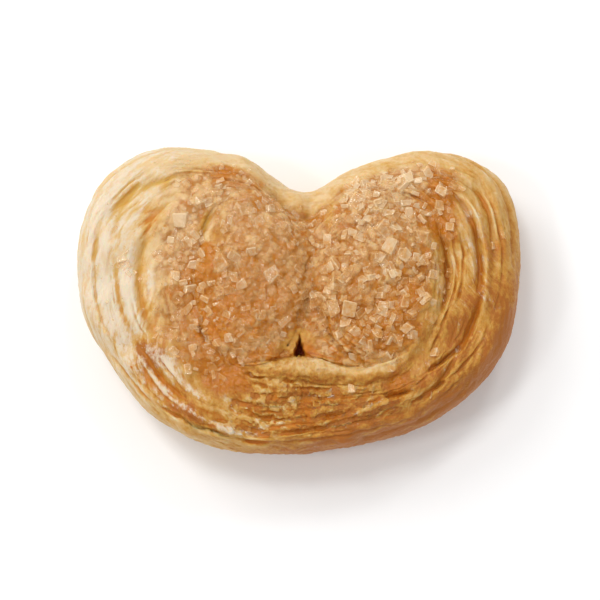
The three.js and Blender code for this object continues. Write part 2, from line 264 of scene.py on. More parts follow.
FINE_FOLDS = series(
    Fold,
    (0.04, 0.0, 133, 162, 0.35, 0.25, 0.6), (0.02, 0.02, 169, 179, 0.8, 0.4, 1.0),
    (0.03, 0.02, 208, 224, 0.7, 0.2, 0.95), (0.02, 0.02, 244, 268, 0.45, 0.18, 0.7),
    (0.01, 0.03, 268, 338, 0.2, 0.16, 0.3), (0.1, 0.18, 206, 246, 0.35, 0.2, 0.6),
    (0.16, 0.12, 262, 308, 0.3, 0.16, 0.55), (0.66, 0.64, 162, 178, 0.3, 0.18, 0.45),
    (0.3, 0.28, 150, 176, 0.3, 0.22, 0.6), (0.9, 0.93, 186, 208, 0.3, 0.18, 0.45),
    (0.66, 0.7, 184, 204, 0.25, 0.16, 0.4), (0.94, 0.86, 126, 112, 0.25, 0.16, 0.45),
    (0.7, 0.6, 118, 102, 0.22, 0.18, 0.35), (0.3, 0.26, 66, 50, 0.25, 0.2, 0.5),
    (0.85, 0.9, 58, 44, 0.25, 0.18, 0.4), (0.36, 0.34, 40, 14, 0.22, 0.18, 0.4),
    (0.2, 0.16, 30, 8, 0.22, 0.16, 0.35), (1.1, 1.2, 40, 16, 0.3, 0.22, 0.5),
    (1.05, 0.95, 8, -16, 0.3, 0.2, 0.5), (0.84, 0.86, 246, 286, 0.24, 0.2, 0.75),
    (0.9, 0.88, 290, 322, 0.2, 0.18, 0.65), (0.4, 0.36, 262, 300, 0.24, 0.2, 0.8),
    (0.58, 0.6, 232, 258, 0.28, 0.2, 0.8), (0.36, 0.42, 300, 334, 0.2, 0.18, 0.6),
    (1.15, 1.1, 262, 300, 0.22, 0.16, 0.4), (1.3, 1.35, 240, 330, 0.2, 0.18, 0.3),
)


@dataclass(frozen=True)
class CurlLine:
    """A fine line on a curl, along its edge: how far out it is, its arc, depth, half width and how brown it
    is, from stain and painted shade together.
    """

    curl: Curl
    spread: float
    start: float
    end: float
    depth: float
    half_width: float
    stain: float


CURL_LINES = series(
    CurlLine,
    (RIGHT_CURL, 0.98, 182, 268, 0.5, 0.3, 0.8), (RIGHT_CURL, 0.92, 200, 262, 0.42, 0.2, 0.95),
    (RIGHT_CURL, 0.87, 212, 258, 0.34, 0.18, 0.8), (RIGHT_CURL, 0.82, 218, 250, 0.28, 0.16, 0.7),
    (RIGHT_CURL, 0.93, 250, 300, 0.3, 0.2, 0.5), (RIGHT_CURL, 0.9, -24, 34, 0.3, 0.22, 0.4),
    (RIGHT_CURL, 0.97, -30, 30, 0.25, 0.18, 0.4), (RIGHT_CURL, 0.95, 118, 168, 0.55, 0.3, 0.6),
    (RIGHT_CURL, 0.86, 128, 160, 0.25, 0.2, 0.4), (LEFT_CURL, 0.97, 250, 296, 0.4, 0.22, 0.6),
    (LEFT_CURL, 0.96, 60, 110, 0.35, 0.25, 0.45), (LEFT_CURL, 0.88, 200, 236, 0.26, 0.24, 0.85),
)


@dataclass(frozen=True)
class Patch:
    """A soft oval area of the upper face, in mm: centre, half sizes, how far it is turned, and its amount."""

    x: float
    y: float
    half_length: float
    half_width: float
    turned: float
    amount: float

    def cover(self, x: Array, y: Array) -> Array:
        """How much of the patch there is at each point."""
        cosine, sine = math.cos(math.radians(self.turned)), math.sin(math.radians(self.turned))
        run = (x - self.x) * cosine + (y - self.y) * sine
        across = (y - self.y) * cosine - (x - self.x) * sine
        return self.amount * np.exp(-((run / self.half_length) ** 2) - (across / self.half_width) ** 2)


def cover(patches: tuple[Patch, ...], x: Array, y: Array) -> Array:
    """How much of several patches there is at each point, all together."""
    return sum(patch.cover(x, y) for patch in patches)


# Where the crust is browner, partly browning and partly painted shade, and paler for a negative amount.
BROWN_AND_SHADE_PATCHES = series(
    Patch,
    (-18.2, 8.8, 1.8, 1.8, 0, 0.5), (-6.8, 15.7, 5.0, 2.3, 4, 0.44), (-4.6, -0.4, 6.8, 8.6, 0, 0.5),
    (3.2, -6.6, 2.6, 1.6, -30, 0.22), (17.0, 11.5, 2.2, 1.6, 70, 0.62), (12.2, 13.4, 3.8, 3.4, 0, -0.66),
    (1.4, 9.0, 1.5, 2.6, 0, 0.36), (-12.8, -1.6, 1.8, 2.4, 0, 0.26), (-12.4, 9.0, 1.8, 1.8, 0, -0.42),
    (-9.6, 6.4, 1.5, 2.6, 0, 0.48), (-9.5, 0.6, 1.5, 1.6, 0, 0.3), (-4.0, -1.0, 2.2, 2.6, 0, 0.26),
    (-3.2, -7.8, 2.6, 0.9, 0, 0.42), (-16.0, 17.4, 4.0, 1.4, 14, 0.2), (-2.0, 11.6, 2.4, 2.2, 0, 0.24),
    (17.4, 8.0, 1.6, 1.5, 0, 0.52), (4.1, 8.0, 1.8, 3.6, 0, 0.44), (6.8, 3.2, 2.4, 2.2, 0, 0.16),
    (-9.4, -9.6, 3.6, 2.2, -20, 0.66), (-14.2, -0.6, 1.9, 6.2, -8, 0.42),
    (-9.4, -3.0, 3.2, 3.2, -30, 0.4), (-7.8, 15.2, 1.8, 0.9, -10, 0.45), (24.6, 5.4, 2.4, 1.3, 0, 0.5),
    (13.0, -1.4, 3.6, 4.4, 0, 0.16), (3.4, -1.6, 2.2, 3.4, 10, 0.16), (11.9, -10.9, 1.3, 1.0, 30, 0.75),
    (-4.6, -13.2, 4.2, 1.4, -8, 0.05), (3.4, -12.6, 3.4, 1.2, 4, 0.1), (20.4, -2.8, 1.5, 4.8, -18, 0.5),
    (17.0, -9.0, 3.4, 2.2, 40, 0.2), (6.8, -15.6, 4.6, 1.7, 10, 0.32),
    (-13.4, -14.8, 3.2, 2.0, -30, 0.62), (-12.4, 14.4, 2.6, 1.6, 10, 0.34), (17.8, 6.2, 0.9, 1.4, 0, 0.3),
    (1.0, -7.0, 0.7, 0.8, 0, 0.4), (-22.2, 11.4, 2.6, 1.0, 52, 0.26), (24.6, -0.6, 0.9, 1.1, 0, 0.3),
    (-19.4, -7.6, 3.6, 2.6, -50, 0.3), (-18.0, -13.4, 3.4, 1.8, -40, 0.42), (15.2, 3.0, 0.9, 2.4, 0, 0.3),
    (6.4, -1.4, 2.8, 2.8, 0, 0.32), (10.6, -4.8, 2.6, 1.8, 0, 0.32), (-18.0, -7.6, 2.0, 2.0, 0, 0.82),
)

# Where flour and bare dough show.
PALE_PATCHES = series(
    Patch,
    (-22.4, -0.2, 3.2, 7.6, 4, 0.75), (-20.4, 9.6, 3.0, 0.9, 46, 0.3), (-17.6, -9.8, 5.0, 3.0, -48, 0.32),
    (-14.8, -7.4, 1.6, 2.4, -30, 0.76), (-23.6, 11.8, 2.6, 3.6, -40, 0.95),
    (-6.4, -17.1, 3.2, 0.9, -14, 0.42), (-12.6, -15.4, 2.8, 1.4, -32, -0.44),
    (-17.9, -7.6, 1.8, 1.8, 0, -0.2), (11.6, -8.8, 2.6, 1.0, 20, 0.35), (2.0, -9.2, 6.0, 1.1, -4, 0.1),
    (20.2, 8.0, 1.0, 5.6, 16, 0.3), (17.0, 2.4, 0.9, 5.6, 2, 0.25), (-18.0, 16.2, 6.0, 2.6, 20, 0.3),
    (-26.0, 5.4, 1.8, 6.0, 0, 1.15), (10.0, -13.6, 3.0, 0.8, 20, 0.05), (5.0, -7.6, 2.0, 1.0, -50, 0.18),
    (1.0, 12.6, 4.4, 2.0, 0, 0.28),
)

# Where the sugar lies, and single grains outside it.
SUGAR_PATCHES = series(
    Patch,
    (8.8, 2.0, 8.4, 11.0, 0, 1.5), (13.2, 13.4, 5.4, 4.2, -8, 1.4), (6.5, 11.6, 4.6, 4.0, 30, 0.9),
    (-5.6, 2.4, 7.4, 10.6, 0, 1.4), (-7.8, 14.0, 7.0, 3.6, 8, 0.75), (-13.8, 3.0, 4.2, 9.4, -4, 0.75),
    (-10.4, -8.0, 4.4, 2.4, -24, 0.7), (1.0, 3.0, 2.6, 8.6, 0, 1.2), (24.4, 6.0, 2.0, 2.0, 0, 0.55),
)

GRAIN_PATCHES = series(
    Patch,
    (-20.4, 4.2, 1.4, 1.9, 0, 0.8), (-9.6, -10.0, 1.6, 1.0, 0, 0.2), (12.6, -8.6, 1.6, 0.9, 20, 0.5),
)

# Where the melted sugar is orange.
SYRUP_PATCHES = series(
    Patch,
    (16.6, 11.6, 2.7, 1.7, 70, 1.3), (17.8, 8.2, 1.5, 1.5, 0, 0.9), (-9.6, -9.8, 3.4, 2.0, -20, 1.0),
    (-9.4, -3.4, 2.0, 2.4, -30, 0.7), (12.6, 0.0, 1.4, 1.8, -10, 0.5), (11.2, -3.4, 3.0, 2.6, 0, 0.8),
    (7.0, -2.6, 1.6, 1.4, 0, 0.5), (-12.2, -0.8, 1.4, 2.4, 0, 0.7), (-4.1, -7.6, 1.8, 0.9, 0, 0.5),
    (12.2, 8.8, 1.4, 1.3, 0, 0.6), (15.0, 3.4, 1.2, 1.3, 0, 0.7), (12.3, -4.9, 1.6, 1.3, 0, 0.6),
    (-11.6, 4.4, 1.5, 4.4, 0, 0.6), (24.8, 5.6, 2.0, 0.9, 0, 0.7), (11.9, -10.9, 1.5, 0.9, 30, 0.8),
    (-9.0, 15.2, 2.0, 0.8, 0, 0.5),
)

# Where dark syrup has run into a crease, partly syrup and partly painted shade in the creases and the hollow
# beside the eye.
SYRUP_AND_SHADE_PATCHES = series(
    Patch,
    (1.2, -7.1, 1.1, 0.8, -16, 1.1), (-11.6, 8.2, 0.6, 2.6, -22, 1.1), (-10.1, -4.7, 1.0, 0.7, 0, 1.05),
    (-12.2, -4.6, 0.6, 1.4, 10, 1.05), (-4.4, -7.8, 1.0, 0.35, 0, 0.7), (1.6, 7.6, 0.45, 3.2, 6, 0.6),
    (3.2, -7.8, 1.9, 0.16, -14, 1.3), (3.7, -6.3, 1.9, 0.11, -42, 1.3), (4.2, -7.2, 1.2, 0.08, -30, 1.1),
    (8.0, -5.2, 1.6, 0.6, 10, 0.45), (12.2, -3.8, 0.9, 1.4, 0, 0.6), (12.2, -11.6, 1.6, 1.2, 30, 0.7),
    (-10.2, -14.6, 1.6, 0.6, -20, 0.55), (-6.7, -15.8, 1.1, 0.6, -10, 0.6),
    (-1.2, -16.0, 1.3, 0.5, 0, 0.6), (1.9, -15.8, 1.1, 0.5, 0, 0.6), (3.4, -12.8, 1.0, 0.4, 0, 0.6),
)

# Burnt specks: where they are and their radius, in mm.
SPECKS = (
    (2.1, 5.3, 0.17), (1.7, 3.1, 0.20), (1.5, 2.2, 0.17), (4.1, 1.1, 0.16), (14.9, 6.2, 0.16),
    (9.6, 6.4, 0.14), (-7.6, -12.0, 0.15), (-11.6, -6.0, 0.2), (2.4, -12.6, 0.18), (-20.2, -9.0, 0.15),
    (-14.9, 12.9, 0.12), (-16.2, 8.1, 0.18), (5.6, -5.8, 0.14), (-9.9, 0.6, 0.16), (-2.9, -15.6, 0.18),
    (12.2, 9.1, 0.13),
)

# Smooth melted sugar right of the eye, and the places that no crystals lie on.
SMOOTH_PATCH = Patch(4.4, -6.9, 2.9, 1.7, -32, 1.30)
BARE_PATCHES = series(
    Patch,
    (16.3, 1.6, 1.0, 6.6, 0, 0.95), (16.0, -5.4, 2.4, 2.6, 0, 0.9), (-9.6, 7.4, 0.9, 3.4, -16, 1.0),
    (4.0, -6.3, 1.8, 2.2, -25, 1.1), (-1.6, -6.8, 1.8, 1.0, 20, 0.7), (-10.1, -4.7, 1.1, 0.8, 0, 1.0),
    (1.0, 13.0, 4.6, 2.6, 0, 1.3), (3.6, 9.2, 2.2, 0.5, 70, 0.8), (1.6, -6.2, 1.2, 1.6, 0, 1.0),
    (4.4, -7.0, 2.6, 1.5, -32, 1.2), (-11.2, 7.8, 0.7, 2.3, -14, 1.0), (16.6, 10.6, 1.6, 1.1, 70, 0.9),
)


@dataclass(frozen=True)
class Spine:
    """The band of dough under the eye, from its upper edge to the heart's line, with a crease above it."""

    start: float = 200
    end: float = 360
    power: float = 0.4
    rise: float = 1.0
    crease: float = 0.35
    crease_half_width: float = 0.32

    def part(self, direction: Array, distance: Array) -> Array:
        """0 on the band's upper edge and 1 on the heart's line."""
        edge = SPINE_EDGE.reach(direction)
        return (distance - edge) / np.maximum(HEART.reach(direction) - edge, 0.5)

    def height(self, direction: Array, distance: Array) -> Array:
        """How far it rises at a direction and distance from the eye; the crease lies below 0."""
        strength = taper(along(direction, self.start, self.end), self.power)
        crown = np.sin(np.pi * clamp(self.part(direction, distance))) ** 0.8
        line = bell(distance - SPINE_EDGE.reach(direction) + 0.15, self.crease_half_width)
        return strength * (self.rise * crown - self.crease * line)


@dataclass(frozen=True)
class Shape:
    """The form of the whole pastry, in mm, as the solid has it."""

    face_height: float = 12.7
    crown: float = 1.1
    curl_rise: float = 1.9
    bulge_height: float = 6.6
    foot_inset: float = 2.6
    shoulder: float = 3.2
    shoulder_back: float = 0.9
    shoulder_right: float = 0.6
    eye: tuple[float, float] = (0.05, -6.2)
    eye_size: float = 0.80
    eye_sides: tuple[float, ...] = (math.pi / 6, math.pi * 5 / 6, -math.pi / 2)
    eye_corners: int = 5
    eye_stretch: float = 1.85
    eye_drop: float = 0.58
    eye_ragged: float = 0.10
    eye_depth: float = 3.0
    eye_floor: float = 0.50
    eye_lip: float = 1.25
    seam_length: float = 21.0
    seam_bow: float = 1.5
    seam_depth: float = 0.35
    seam_half_width: float = 0.70
    seam_start: float = 1.5
    notch: tuple[float, float] = (1.0, 12.5)
    notch_drop: float = 3.0
    notch_radius: float = 4.2
    spine: Spine = Spine()
    lumps: tuple[tuple[float, float, float, float], ...] = (
        (0.22, 9.1, 4.3, 0.6), (0.18, -5.2, 11.7, 2.1), (0.12, 17.3, 9.6, 4.0),
        (0.10, 13.1, -19.4, 1.3),
    )
    wall_lumps: tuple[tuple[float, float, float, float], ...] = (
        (0.20, 5, 0.9, 0.4), (0.16, 9, -1.3, 2.6), (0.12, 14, 2.1, 4.4), (0.08, 23, -1.7, 1.1),
    )

    def place(self, direction: Array, distance: Array) -> tuple[Array, Array]:
        """The x and y of a direction and distance from the eye."""
        radians = np.radians(direction)
        return self.eye[0] + distance * np.cos(radians), self.eye[1] + distance * np.sin(radians)

    def eye_part(self, x: Array, y: Array) -> Array:
        """0 on the floor of the eye's tall three-cornered hole and 1 on its lip."""
        across, up = (x - self.eye[0]) * self.eye_stretch, y - self.eye[1] + self.eye_drop
        sides = [clamp(across * math.cos(angle) + up * math.sin(angle), 0, None) for angle in self.eye_sides]
        reach = sum(side**self.eye_corners for side in sides) ** (1 / self.eye_corners) / self.eye_size
        reach = reach * (1 + self.eye_ragged * np.sin(7 * np.arctan2(up, across) + 0.8))
        return (reach - self.eye_floor) / (self.eye_lip - self.eye_floor)

    def shoulder_width(self, direction: Array) -> Array:
        """How far the face's edge lies inside the rim."""
        radians = np.radians(direction)
        return self.shoulder + self.shoulder_back * np.sin(radians) + self.shoulder_right * np.cos(radians)

    def fold_depth(self, ring: Array, direction: Array, span: Array) -> Array:
        """How deep the folds are.

        Args:
            ring: rings, as in Fold.
            direction: directions in degrees.
            span: the length of one ring unit there, in mm.

        Returns:
            The depth in mm, negative on a ridge.
        """
        depth = np.zeros(np.broadcast(ring, direction, span).shape)
        for fold in FOLDS:
            part, line = fold.line(direction)
            offset = (ring - line) * span
            depth += fold.depth * bell(offset, fold.half_width) * taper(part, FOLD_TAPER)
        return depth

    def top(self, direction: Array, distance: Array) -> Array:
        """The height of the upper face at a direction and distance from the eye."""
        heart = HEART.reach(direction)
        face = RIM.reach(direction) - self.shoulder_width(direction)
        ring = (distance - heart) / (face - heart)
        x, y = self.place(direction, distance)
        height = self.face_height + self.crown * (1 - clamp(ring) ** 2)
        for size, along_x, along_y, phase in self.lumps:
            height += size * np.sin((along_x * x + along_y * y) * 0.02 * np.pi + phase)
        for curl in (LEFT_CURL, RIGHT_CURL):
            height += self.curl_rise * clamp(1 - curl.spread(x, y) ** 2) ** CURL_ROUNDNESS
        seam_part = clamp((y - self.eye[1]) / self.seam_length)
        seam_x = self.eye[0] + self.seam_bow * np.sin(np.pi * seam_part)
        started = ease(y, self.eye[1], self.seam_start)
        height -= self.seam_depth * bell(x - seam_x, self.seam_half_width) * started
        height -= self.notch_drop * bell(np.hypot(x - self.notch[0], y - self.notch[1]), self.notch_radius)
        height += self.spine.height(direction, distance)
        height -= self.eye_depth * (1 - smooth(self.eye_part(x, y)))
        return height - self.fold_depth(ring, direction, face - heart)

    def wall_depth(self, ring: Array, direction: Array, span: Array) -> Array:
        """How far the wall lies in from its plain rounding."""
        depth = self.fold_depth(ring, direction, span)
        for size, turns_round, turns_down, phase in self.wall_lumps:
            wave = turns_round * np.radians(direction) + turns_down * np.pi * ring + phase
            depth += size * np.sin(wave) * np.sin(np.pi * ring) ** 2
        return depth

    def section(self, ring: float, direction: Array) -> tuple[Array, Array]:
        """One ring of the surface.

        Args:
            ring: from -1 at the eye, 0 on the heart's line, 1, 2 and 3 as in Fold, to 4 under the eye.
            direction: directions in degrees.

        Returns:
            The distance from the eye and the height in each direction.
        """
        rim = RIM.reach(direction)
        heart = HEART.reach(direction)
        shoulder = self.shoulder_width(direction)
        face = rim - shoulder
        if ring <= 1:
            distance = heart * (1 + ring) ** 1.15 if ring < 0 else heart + (face - heart) * ring
            return distance, self.top(direction, distance)
        everywhere = np.full(direction.shape, float(ring))
        if ring <= 2:
            brink = np.ones(direction.shape)
            edge = self.top(direction, face) + self.fold_depth(brink, direction, face - heart)
            angle = (ring - 1) * math.pi / 2
            span = math.pi / 4 * (shoulder + edge - self.bulge_height)
            depth = self.wall_depth(everywhere, direction, span)
            rise = edge - self.bulge_height - depth
            return face + (shoulder - depth) * math.sin(angle), self.bulge_height + rise * math.cos(angle)
        if ring <= 3:
            angle = (ring - 2) * math.pi / 2
            span = math.pi / 4 * (self.foot_inset + self.bulge_height)
            depth = self.wall_depth(everywhere, direction, span)
            distance = rim - self.foot_inset * (1 - math.cos(angle)) - depth * math.cos(angle)
            return distance, np.full(direction.shape, self.bulge_height * (1 - math.sin(angle)))
        return (rim - self.foot_inset) * (4 - ring), np.zeros(direction.shape)


SHAPE = Shape()


def put(name: str, data: bpy.types.ID) -> bpy.types.Object:
    """Puts an object with this data in the scene."""
    made = bpy.data.objects.new(name, data)
    bpy.context.scene.collection.objects.link(made)
    return made


def new_mesh_object(
    name: str, vertices: Array, faces: list[tuple[int, ...]] | Array, smooth_faces: bool
) -> bpy.types.Object:
    """Makes a mesh object in the scene.

    Args:
        name: the object's name.
        vertices: corners in mm, one row each.
        faces: corner numbers of each face.
        smooth_faces: whether the faces are shaded smooth.

    Returns:
        The object, with its mesh in metres.
    """
    mesh = bpy.data.meshes.new(name)
    mesh.from_pydata((np.asarray(vertices, float) * MM).tolist(), [], [tuple(map(int, f)) for f in faces])
    mesh.update()
    mesh.shade_smooth() if smooth_faces else mesh.shade_flat()
    return put(name, mesh)


def store(piece: bpy.types.Object, name: str, values: Array, domain: str = "POINT") -> None:
    """Keeps one number or one vector for each corner or face of a piece, as a named attribute."""
    vectors = np.ndim(values) == 2
    attribute = piece.data.attributes.new(name, "FLOAT_VECTOR" if vectors else "FLOAT", domain)
    attribute.data.foreach_set("vector" if vectors else "value", np.asarray(values, np.float32).ravel())


class NodeKit:
    """Adds nodes to a tree and links them, for materials and for geometry."""

    def __init__(self, tree: bpy.types.NodeTree) -> None:
        """Starts on an empty tree."""
        self.tree = tree
        self.tree.nodes.clear()

    def add(
        self, kind: str, inputs: dict[str | int, object] | None = None, **settings: object
    ) -> bpy.types.Node:
        """Adds a node.

        Args:
            kind: the node's type name.
            inputs: for each input, by name or number, a value or the output that feeds it.
            settings: the node's own properties.

        Returns:
            The node.
        """
        node = self.tree.nodes.new(kind)
        for name, value in settings.items():
            setattr(node, name, value)
        for key, value in (inputs or {}).items():
            socket = self.socket(node.inputs, key)
            if isinstance(value, Socket):
                self.tree.links.new(value, socket)
            else:
                socket.default_value = value
        return node

    @staticmethod
    def socket(sockets: bpy.types.NodeInputs, key: str | int) -> Socket:
        """The socket with a number, or the one in use with a name."""
        if isinstance(key, int):
            return sockets[key]
        return next(s for s in sockets if s.name == key and s.enabled)

    @staticmethod
    def out(node: bpy.types.Node) -> Socket:
        """The first output of a node that is in use."""
        return next(s for s in node.outputs if s.enabled)

    def math(self, operation: str, *values: object) -> Socket:
        """A Math node's result."""
        return self.add("ShaderNodeMath", dict(enumerate(values)), operation=operation).outputs[0]

    def total(self, base: object, *parts: tuple[object, object]) -> Socket:
        """A value with others added to it one after another, each times its own amount."""
        for value, amount in parts:
            base = self.math("MULTIPLY_ADD", value, amount, base)
        return base

    def numbers(self, *names: str) -> list[Socket]:
        """The numbers that a piece keeps under these names."""
        return [self.add("ShaderNodeAttribute", attribute_name=name).outputs["Fac"] for name in names]

    def surface(self, inputs: dict[str | int, object]) -> None:
        """Ends a material in a Principled BSDF with these inputs."""
        shader = self.add("ShaderNodeBsdfPrincipled", inputs)
        self.add("ShaderNodeOutputMaterial", {"Surface": shader.outputs[0]})

    def mix(self, factor: object, first: object, second: object) -> Socket:
        """Two colours mixed by a factor."""
        node = self.add("ShaderNodeMix", {0: factor, 6: first, 7: second}, data_type="RGBA")
        return node.outputs[2]

    def ramp(self, value: object, steps: tuple[tuple[float, Colour], ...]) -> Socket:
        """A colour that a value picks from steps, each a position and a colour."""
        node = self.add("ShaderNodeValToRGB", {"Fac": value})
        while len(node.color_ramp.elements) < len(steps):
            node.color_ramp.elements.new(0.5)
        for element, (position, colour) in zip(node.color_ramp.elements, steps):
            element.position = position
            element.color = opaque(colour)
        return node.outputs[0]

    def spread(
        self, value: object, low: float, high: float, to: tuple[float, float] = (0, 1)
    ) -> Socket:
        """A value moved from one range into another, softly at both ends."""
        inputs = {"Value": value, "From Min": low, "From Max": high, "To Min": to[0], "To Max": to[1]}
        return self.add("ShaderNodeMapRange", inputs, interpolation_type="SMOOTHSTEP").outputs[0]


def opaque(colour: Colour) -> tuple[float, float, float, float]:
    """A colour with full cover."""
    return (*colour, 1.0)


def new_material(name: str) -> tuple[bpy.types.Material, NodeKit]:
    material = bpy.data.materials.new(name)
    material.use_nodes = True
    return material, NodeKit(material.node_tree)


@dataclass(frozen=True)
class Cells:
    """Uneven cells with a tone of their own, as crystals in melted sugar or torn scraps of dough have."""

    colour: Socket
    away: Socket

    @classmethod
    def build(cls, kit: NodeKit, place: object, size: float, wander: float) -> "Cells":
        """Adds the cells to a material.

        Args:
            kit: the material's kit.
            place: where each point is, in mm.
            size: the size of a cell in mm.
            wander: how far the cells' edges wander, in mm.

        Returns:
            A random colour for each cell, and how far its middle is, in cells.
        """
        drift = kit.add("ShaderNodeTexNoise", {"Vector": place, "Scale": 1.1 / size, "Detail": 2.0})
        spot = kit.add("ShaderNodeVectorMath", {
            0: drift.outputs["Color"], 1: (wander * 4,) * 3, 2: place,
        }, operation="MULTIPLY_ADD").outputs[0]
        cells = kit.add("ShaderNodeTexVoronoi", {"Vector": spot, "Scale": 1 / size}).outputs
        return cls(cells["Color"], cells["Distance"])

    def tone(self, kit: NodeKit, channel: int) -> Socket:
        """A random number round 0 for each cell."""
        channels = kit.add("ShaderNodeSeparateColor", {"Color": self.colour}).outputs
        return kit.math("SUBTRACT", channels[channel], 0.5)


@dataclass(frozen=True)
class PastryFinish:
    """Baked puff pastry: cream to golden brown, amber in the creases, melted sugar, with painted shade and
    light mixed into its browning. Colours are linear.
    """

    dough: Colour = (0.70, 0.50, 0.26)
    straw: Colour = (0.63, 0.38, 0.125)
    golden: Colour = (0.54, 0.26, 0.038)
    brown: Colour = (0.40, 0.13, 0.012)
    flour: Colour = (0.72, 0.61, 0.46)
    melt_pale: Colour = (0.665, 0.415, 0.185)
    melt_warm: Colour = (0.485, 0.232, 0.069)
    syrup: Colour = (0.49, 0.165, 0.010)
    honey: Colour = (0.60, 0.34, 0.055)
    amber: Colour = (0.55, 0.18, 0.010)
    deep_amber: Colour = (0.32, 0.075, 0.005)
    burnt_and_hole_shade: Colour = (0.34, 0.035, 0.010)
    roughness: float = 0.50
    glazed_roughness: float = 0.18

    def build(self) -> bpy.types.Material:
        """The pastry's material, which reads the piece's own attributes."""
        material, kit = new_material("pastry")
        place = kit.add("ShaderNodeVectorMath", {
            0: kit.add("ShaderNodeTexCoord").outputs["Object"], "Scale": 1 / MM,
        }, operation="SCALE").outputs[0]
        toast, stain, pale, glaze, layered, vivid, block, block_tone = kit.numbers(
            "toast", "stain", "pale", "glaze", "layered", "vivid", "block", "block_tone",
        )
        layers = kit.add("ShaderNodeAttribute", attribute_name="layers").outputs["Vector"]
        mottle, grain = (self.cloud(kit, place, (size,) * 3, 5.0) for size in (0.42, 2.1))
        broad, thin, hair = (
            self.cloud(kit, layers, (across, across, down), 3.0)
            for across, down in ((0.5, 0.9), (1.3, 2.2), (3.0, 5.0))
        )
        lines = kit.total(broad, (hair, 0.4), (thin, 0.8))
        lines = kit.math("MULTIPLY", lines, kit.math("MULTIPLY", layered, 1.2))
        flat = kit.add("ShaderNodeVectorMath", {0: layers, 1: (0.5, 0.5, 1.0)}, operation="MULTIPLY")
        scraps = Cells.build(kit, flat.outputs[0], 0.8, 0.25)
        scrap_tone = kit.math("MULTIPLY", scraps.tone(kit, 0), layered)
        uneven = kit.total(toast, (mottle, 0.9), (grain, 0.75), (lines, -1.0), (scrap_tone, 0.35))
        crust = kit.ramp(uneven, (
            (0.0, self.dough), (0.33, self.straw), (0.66, self.golden), (1.0, self.brown),
        ))
        whitened = kit.total(pale, (mottle, 1.2), (lines, 1.3), (grain, 1.3), (scrap_tone, -0.4))
        crust = kit.mix(kit.spread(whitened, 0.15, 0.85, (0.0, 0.9)), crust, opaque(self.flour))
        # The crust darkens towards honey and amber where it is stained: real stains, and painted shade in the
        # creases and hollows.
        stain_and_shade_mix = kit.total(stain, (lines, -0.5), (mottle, 0.6))
        syrup_and_shade = kit.mix(kit.spread(toast, 0.0, 0.5), opaque(self.honey), opaque(self.amber))
        crust = kit.mix(kit.spread(stain_and_shade_mix, 0.14, 0.80, (0.0, 0.9)), crust, syrup_and_shade)
        melt = Cells.build(kit, place, 0.8, 0.15)
        melted = kit.total(
            kit.math("ADD", vivid, 0.16), (toast, 0.5), (block, -0.75), (block_tone, 0.55),
            (melt.away, 0.25), (melt.tone(kit, 1), 0.50), (grain, 0.25), (mottle, 0.5),
        )
        sweet = kit.ramp(melted, ((0.0, self.melt_pale), (0.50, self.melt_warm), (1.0, self.syrup)))
        glazed = kit.spread(kit.total(glaze, (mottle, 1.8)), 0.10, 0.90)
        glazed = kit.math("MULTIPLY", glazed, kit.spread(glaze, 0.0, 0.12))
        covered = kit.math("MULTIPLY", glazed, kit.spread(stain_and_shade_mix, 0.35, 0.95, (0.92, 0.25)))
        crust = kit.mix(covered, crust, sweet)
        # Deep amber where the stain is strong, and burnt colour above that: dark syrup and burnt specks, and
        # painted shade beside the eye and in its hole.
        crust = kit.mix(kit.spread(stain_and_shade_mix, 1.0, 1.55, (0.0, 0.85)), crust, opaque(self.deep_amber))
        crust = kit.mix(kit.spread(stain, 1.30, 1.90), crust, opaque(self.burnt_and_hole_shade))
        rough = kit.spread(glazed, 0.0, 1.0, (self.roughness, self.glazed_roughness))
        plate = kit.total(kit.math("MULTIPLY", melt.away, -0.10), (melt.tone(kit, 2), 0.09))
        relief = kit.total(
            kit.math("MULTIPLY", lines, 0.20), (grain, 0.08),
            (kit.math("MULTIPLY", scraps.away, layered), -0.05), (plate, glazed), (scrap_tone, 0.05),
        )
        bump = kit.add("ShaderNodeBump", {"Height": relief, "Strength": 1.0, "Distance": MM})
        kit.surface({
            "Base Color": crust, "Roughness": kit.total(rough, (grain, 0.3)), "Normal": bump.outputs[0],
            "Subsurface Weight": 0.50, "Subsurface Radius": (1.0, 0.5, 0.22), "Subsurface Scale": 0.0020,
            "IOR": 1.45, "Specular IOR Level": 0.35,
        })
        return material

    @staticmethod
    def cloud(
        kit: NodeKit, place: object, scale: tuple[float, float, float], detail: float
    ) -> Socket:
        """Soft noise round 0, with its own scale along each axis."""
        spot = kit.add("ShaderNodeVectorMath", {0: place, 1: scale}, operation="MULTIPLY").outputs[0]
        inputs = {"Vector": spot, "Scale": 1.0, "Detail": detail, "Roughness": 0.6, "Distortion": 0.2}
        return kit.math("SUBTRACT", kit.add("ShaderNodeTexNoise", inputs).outputs[0], 0.5)


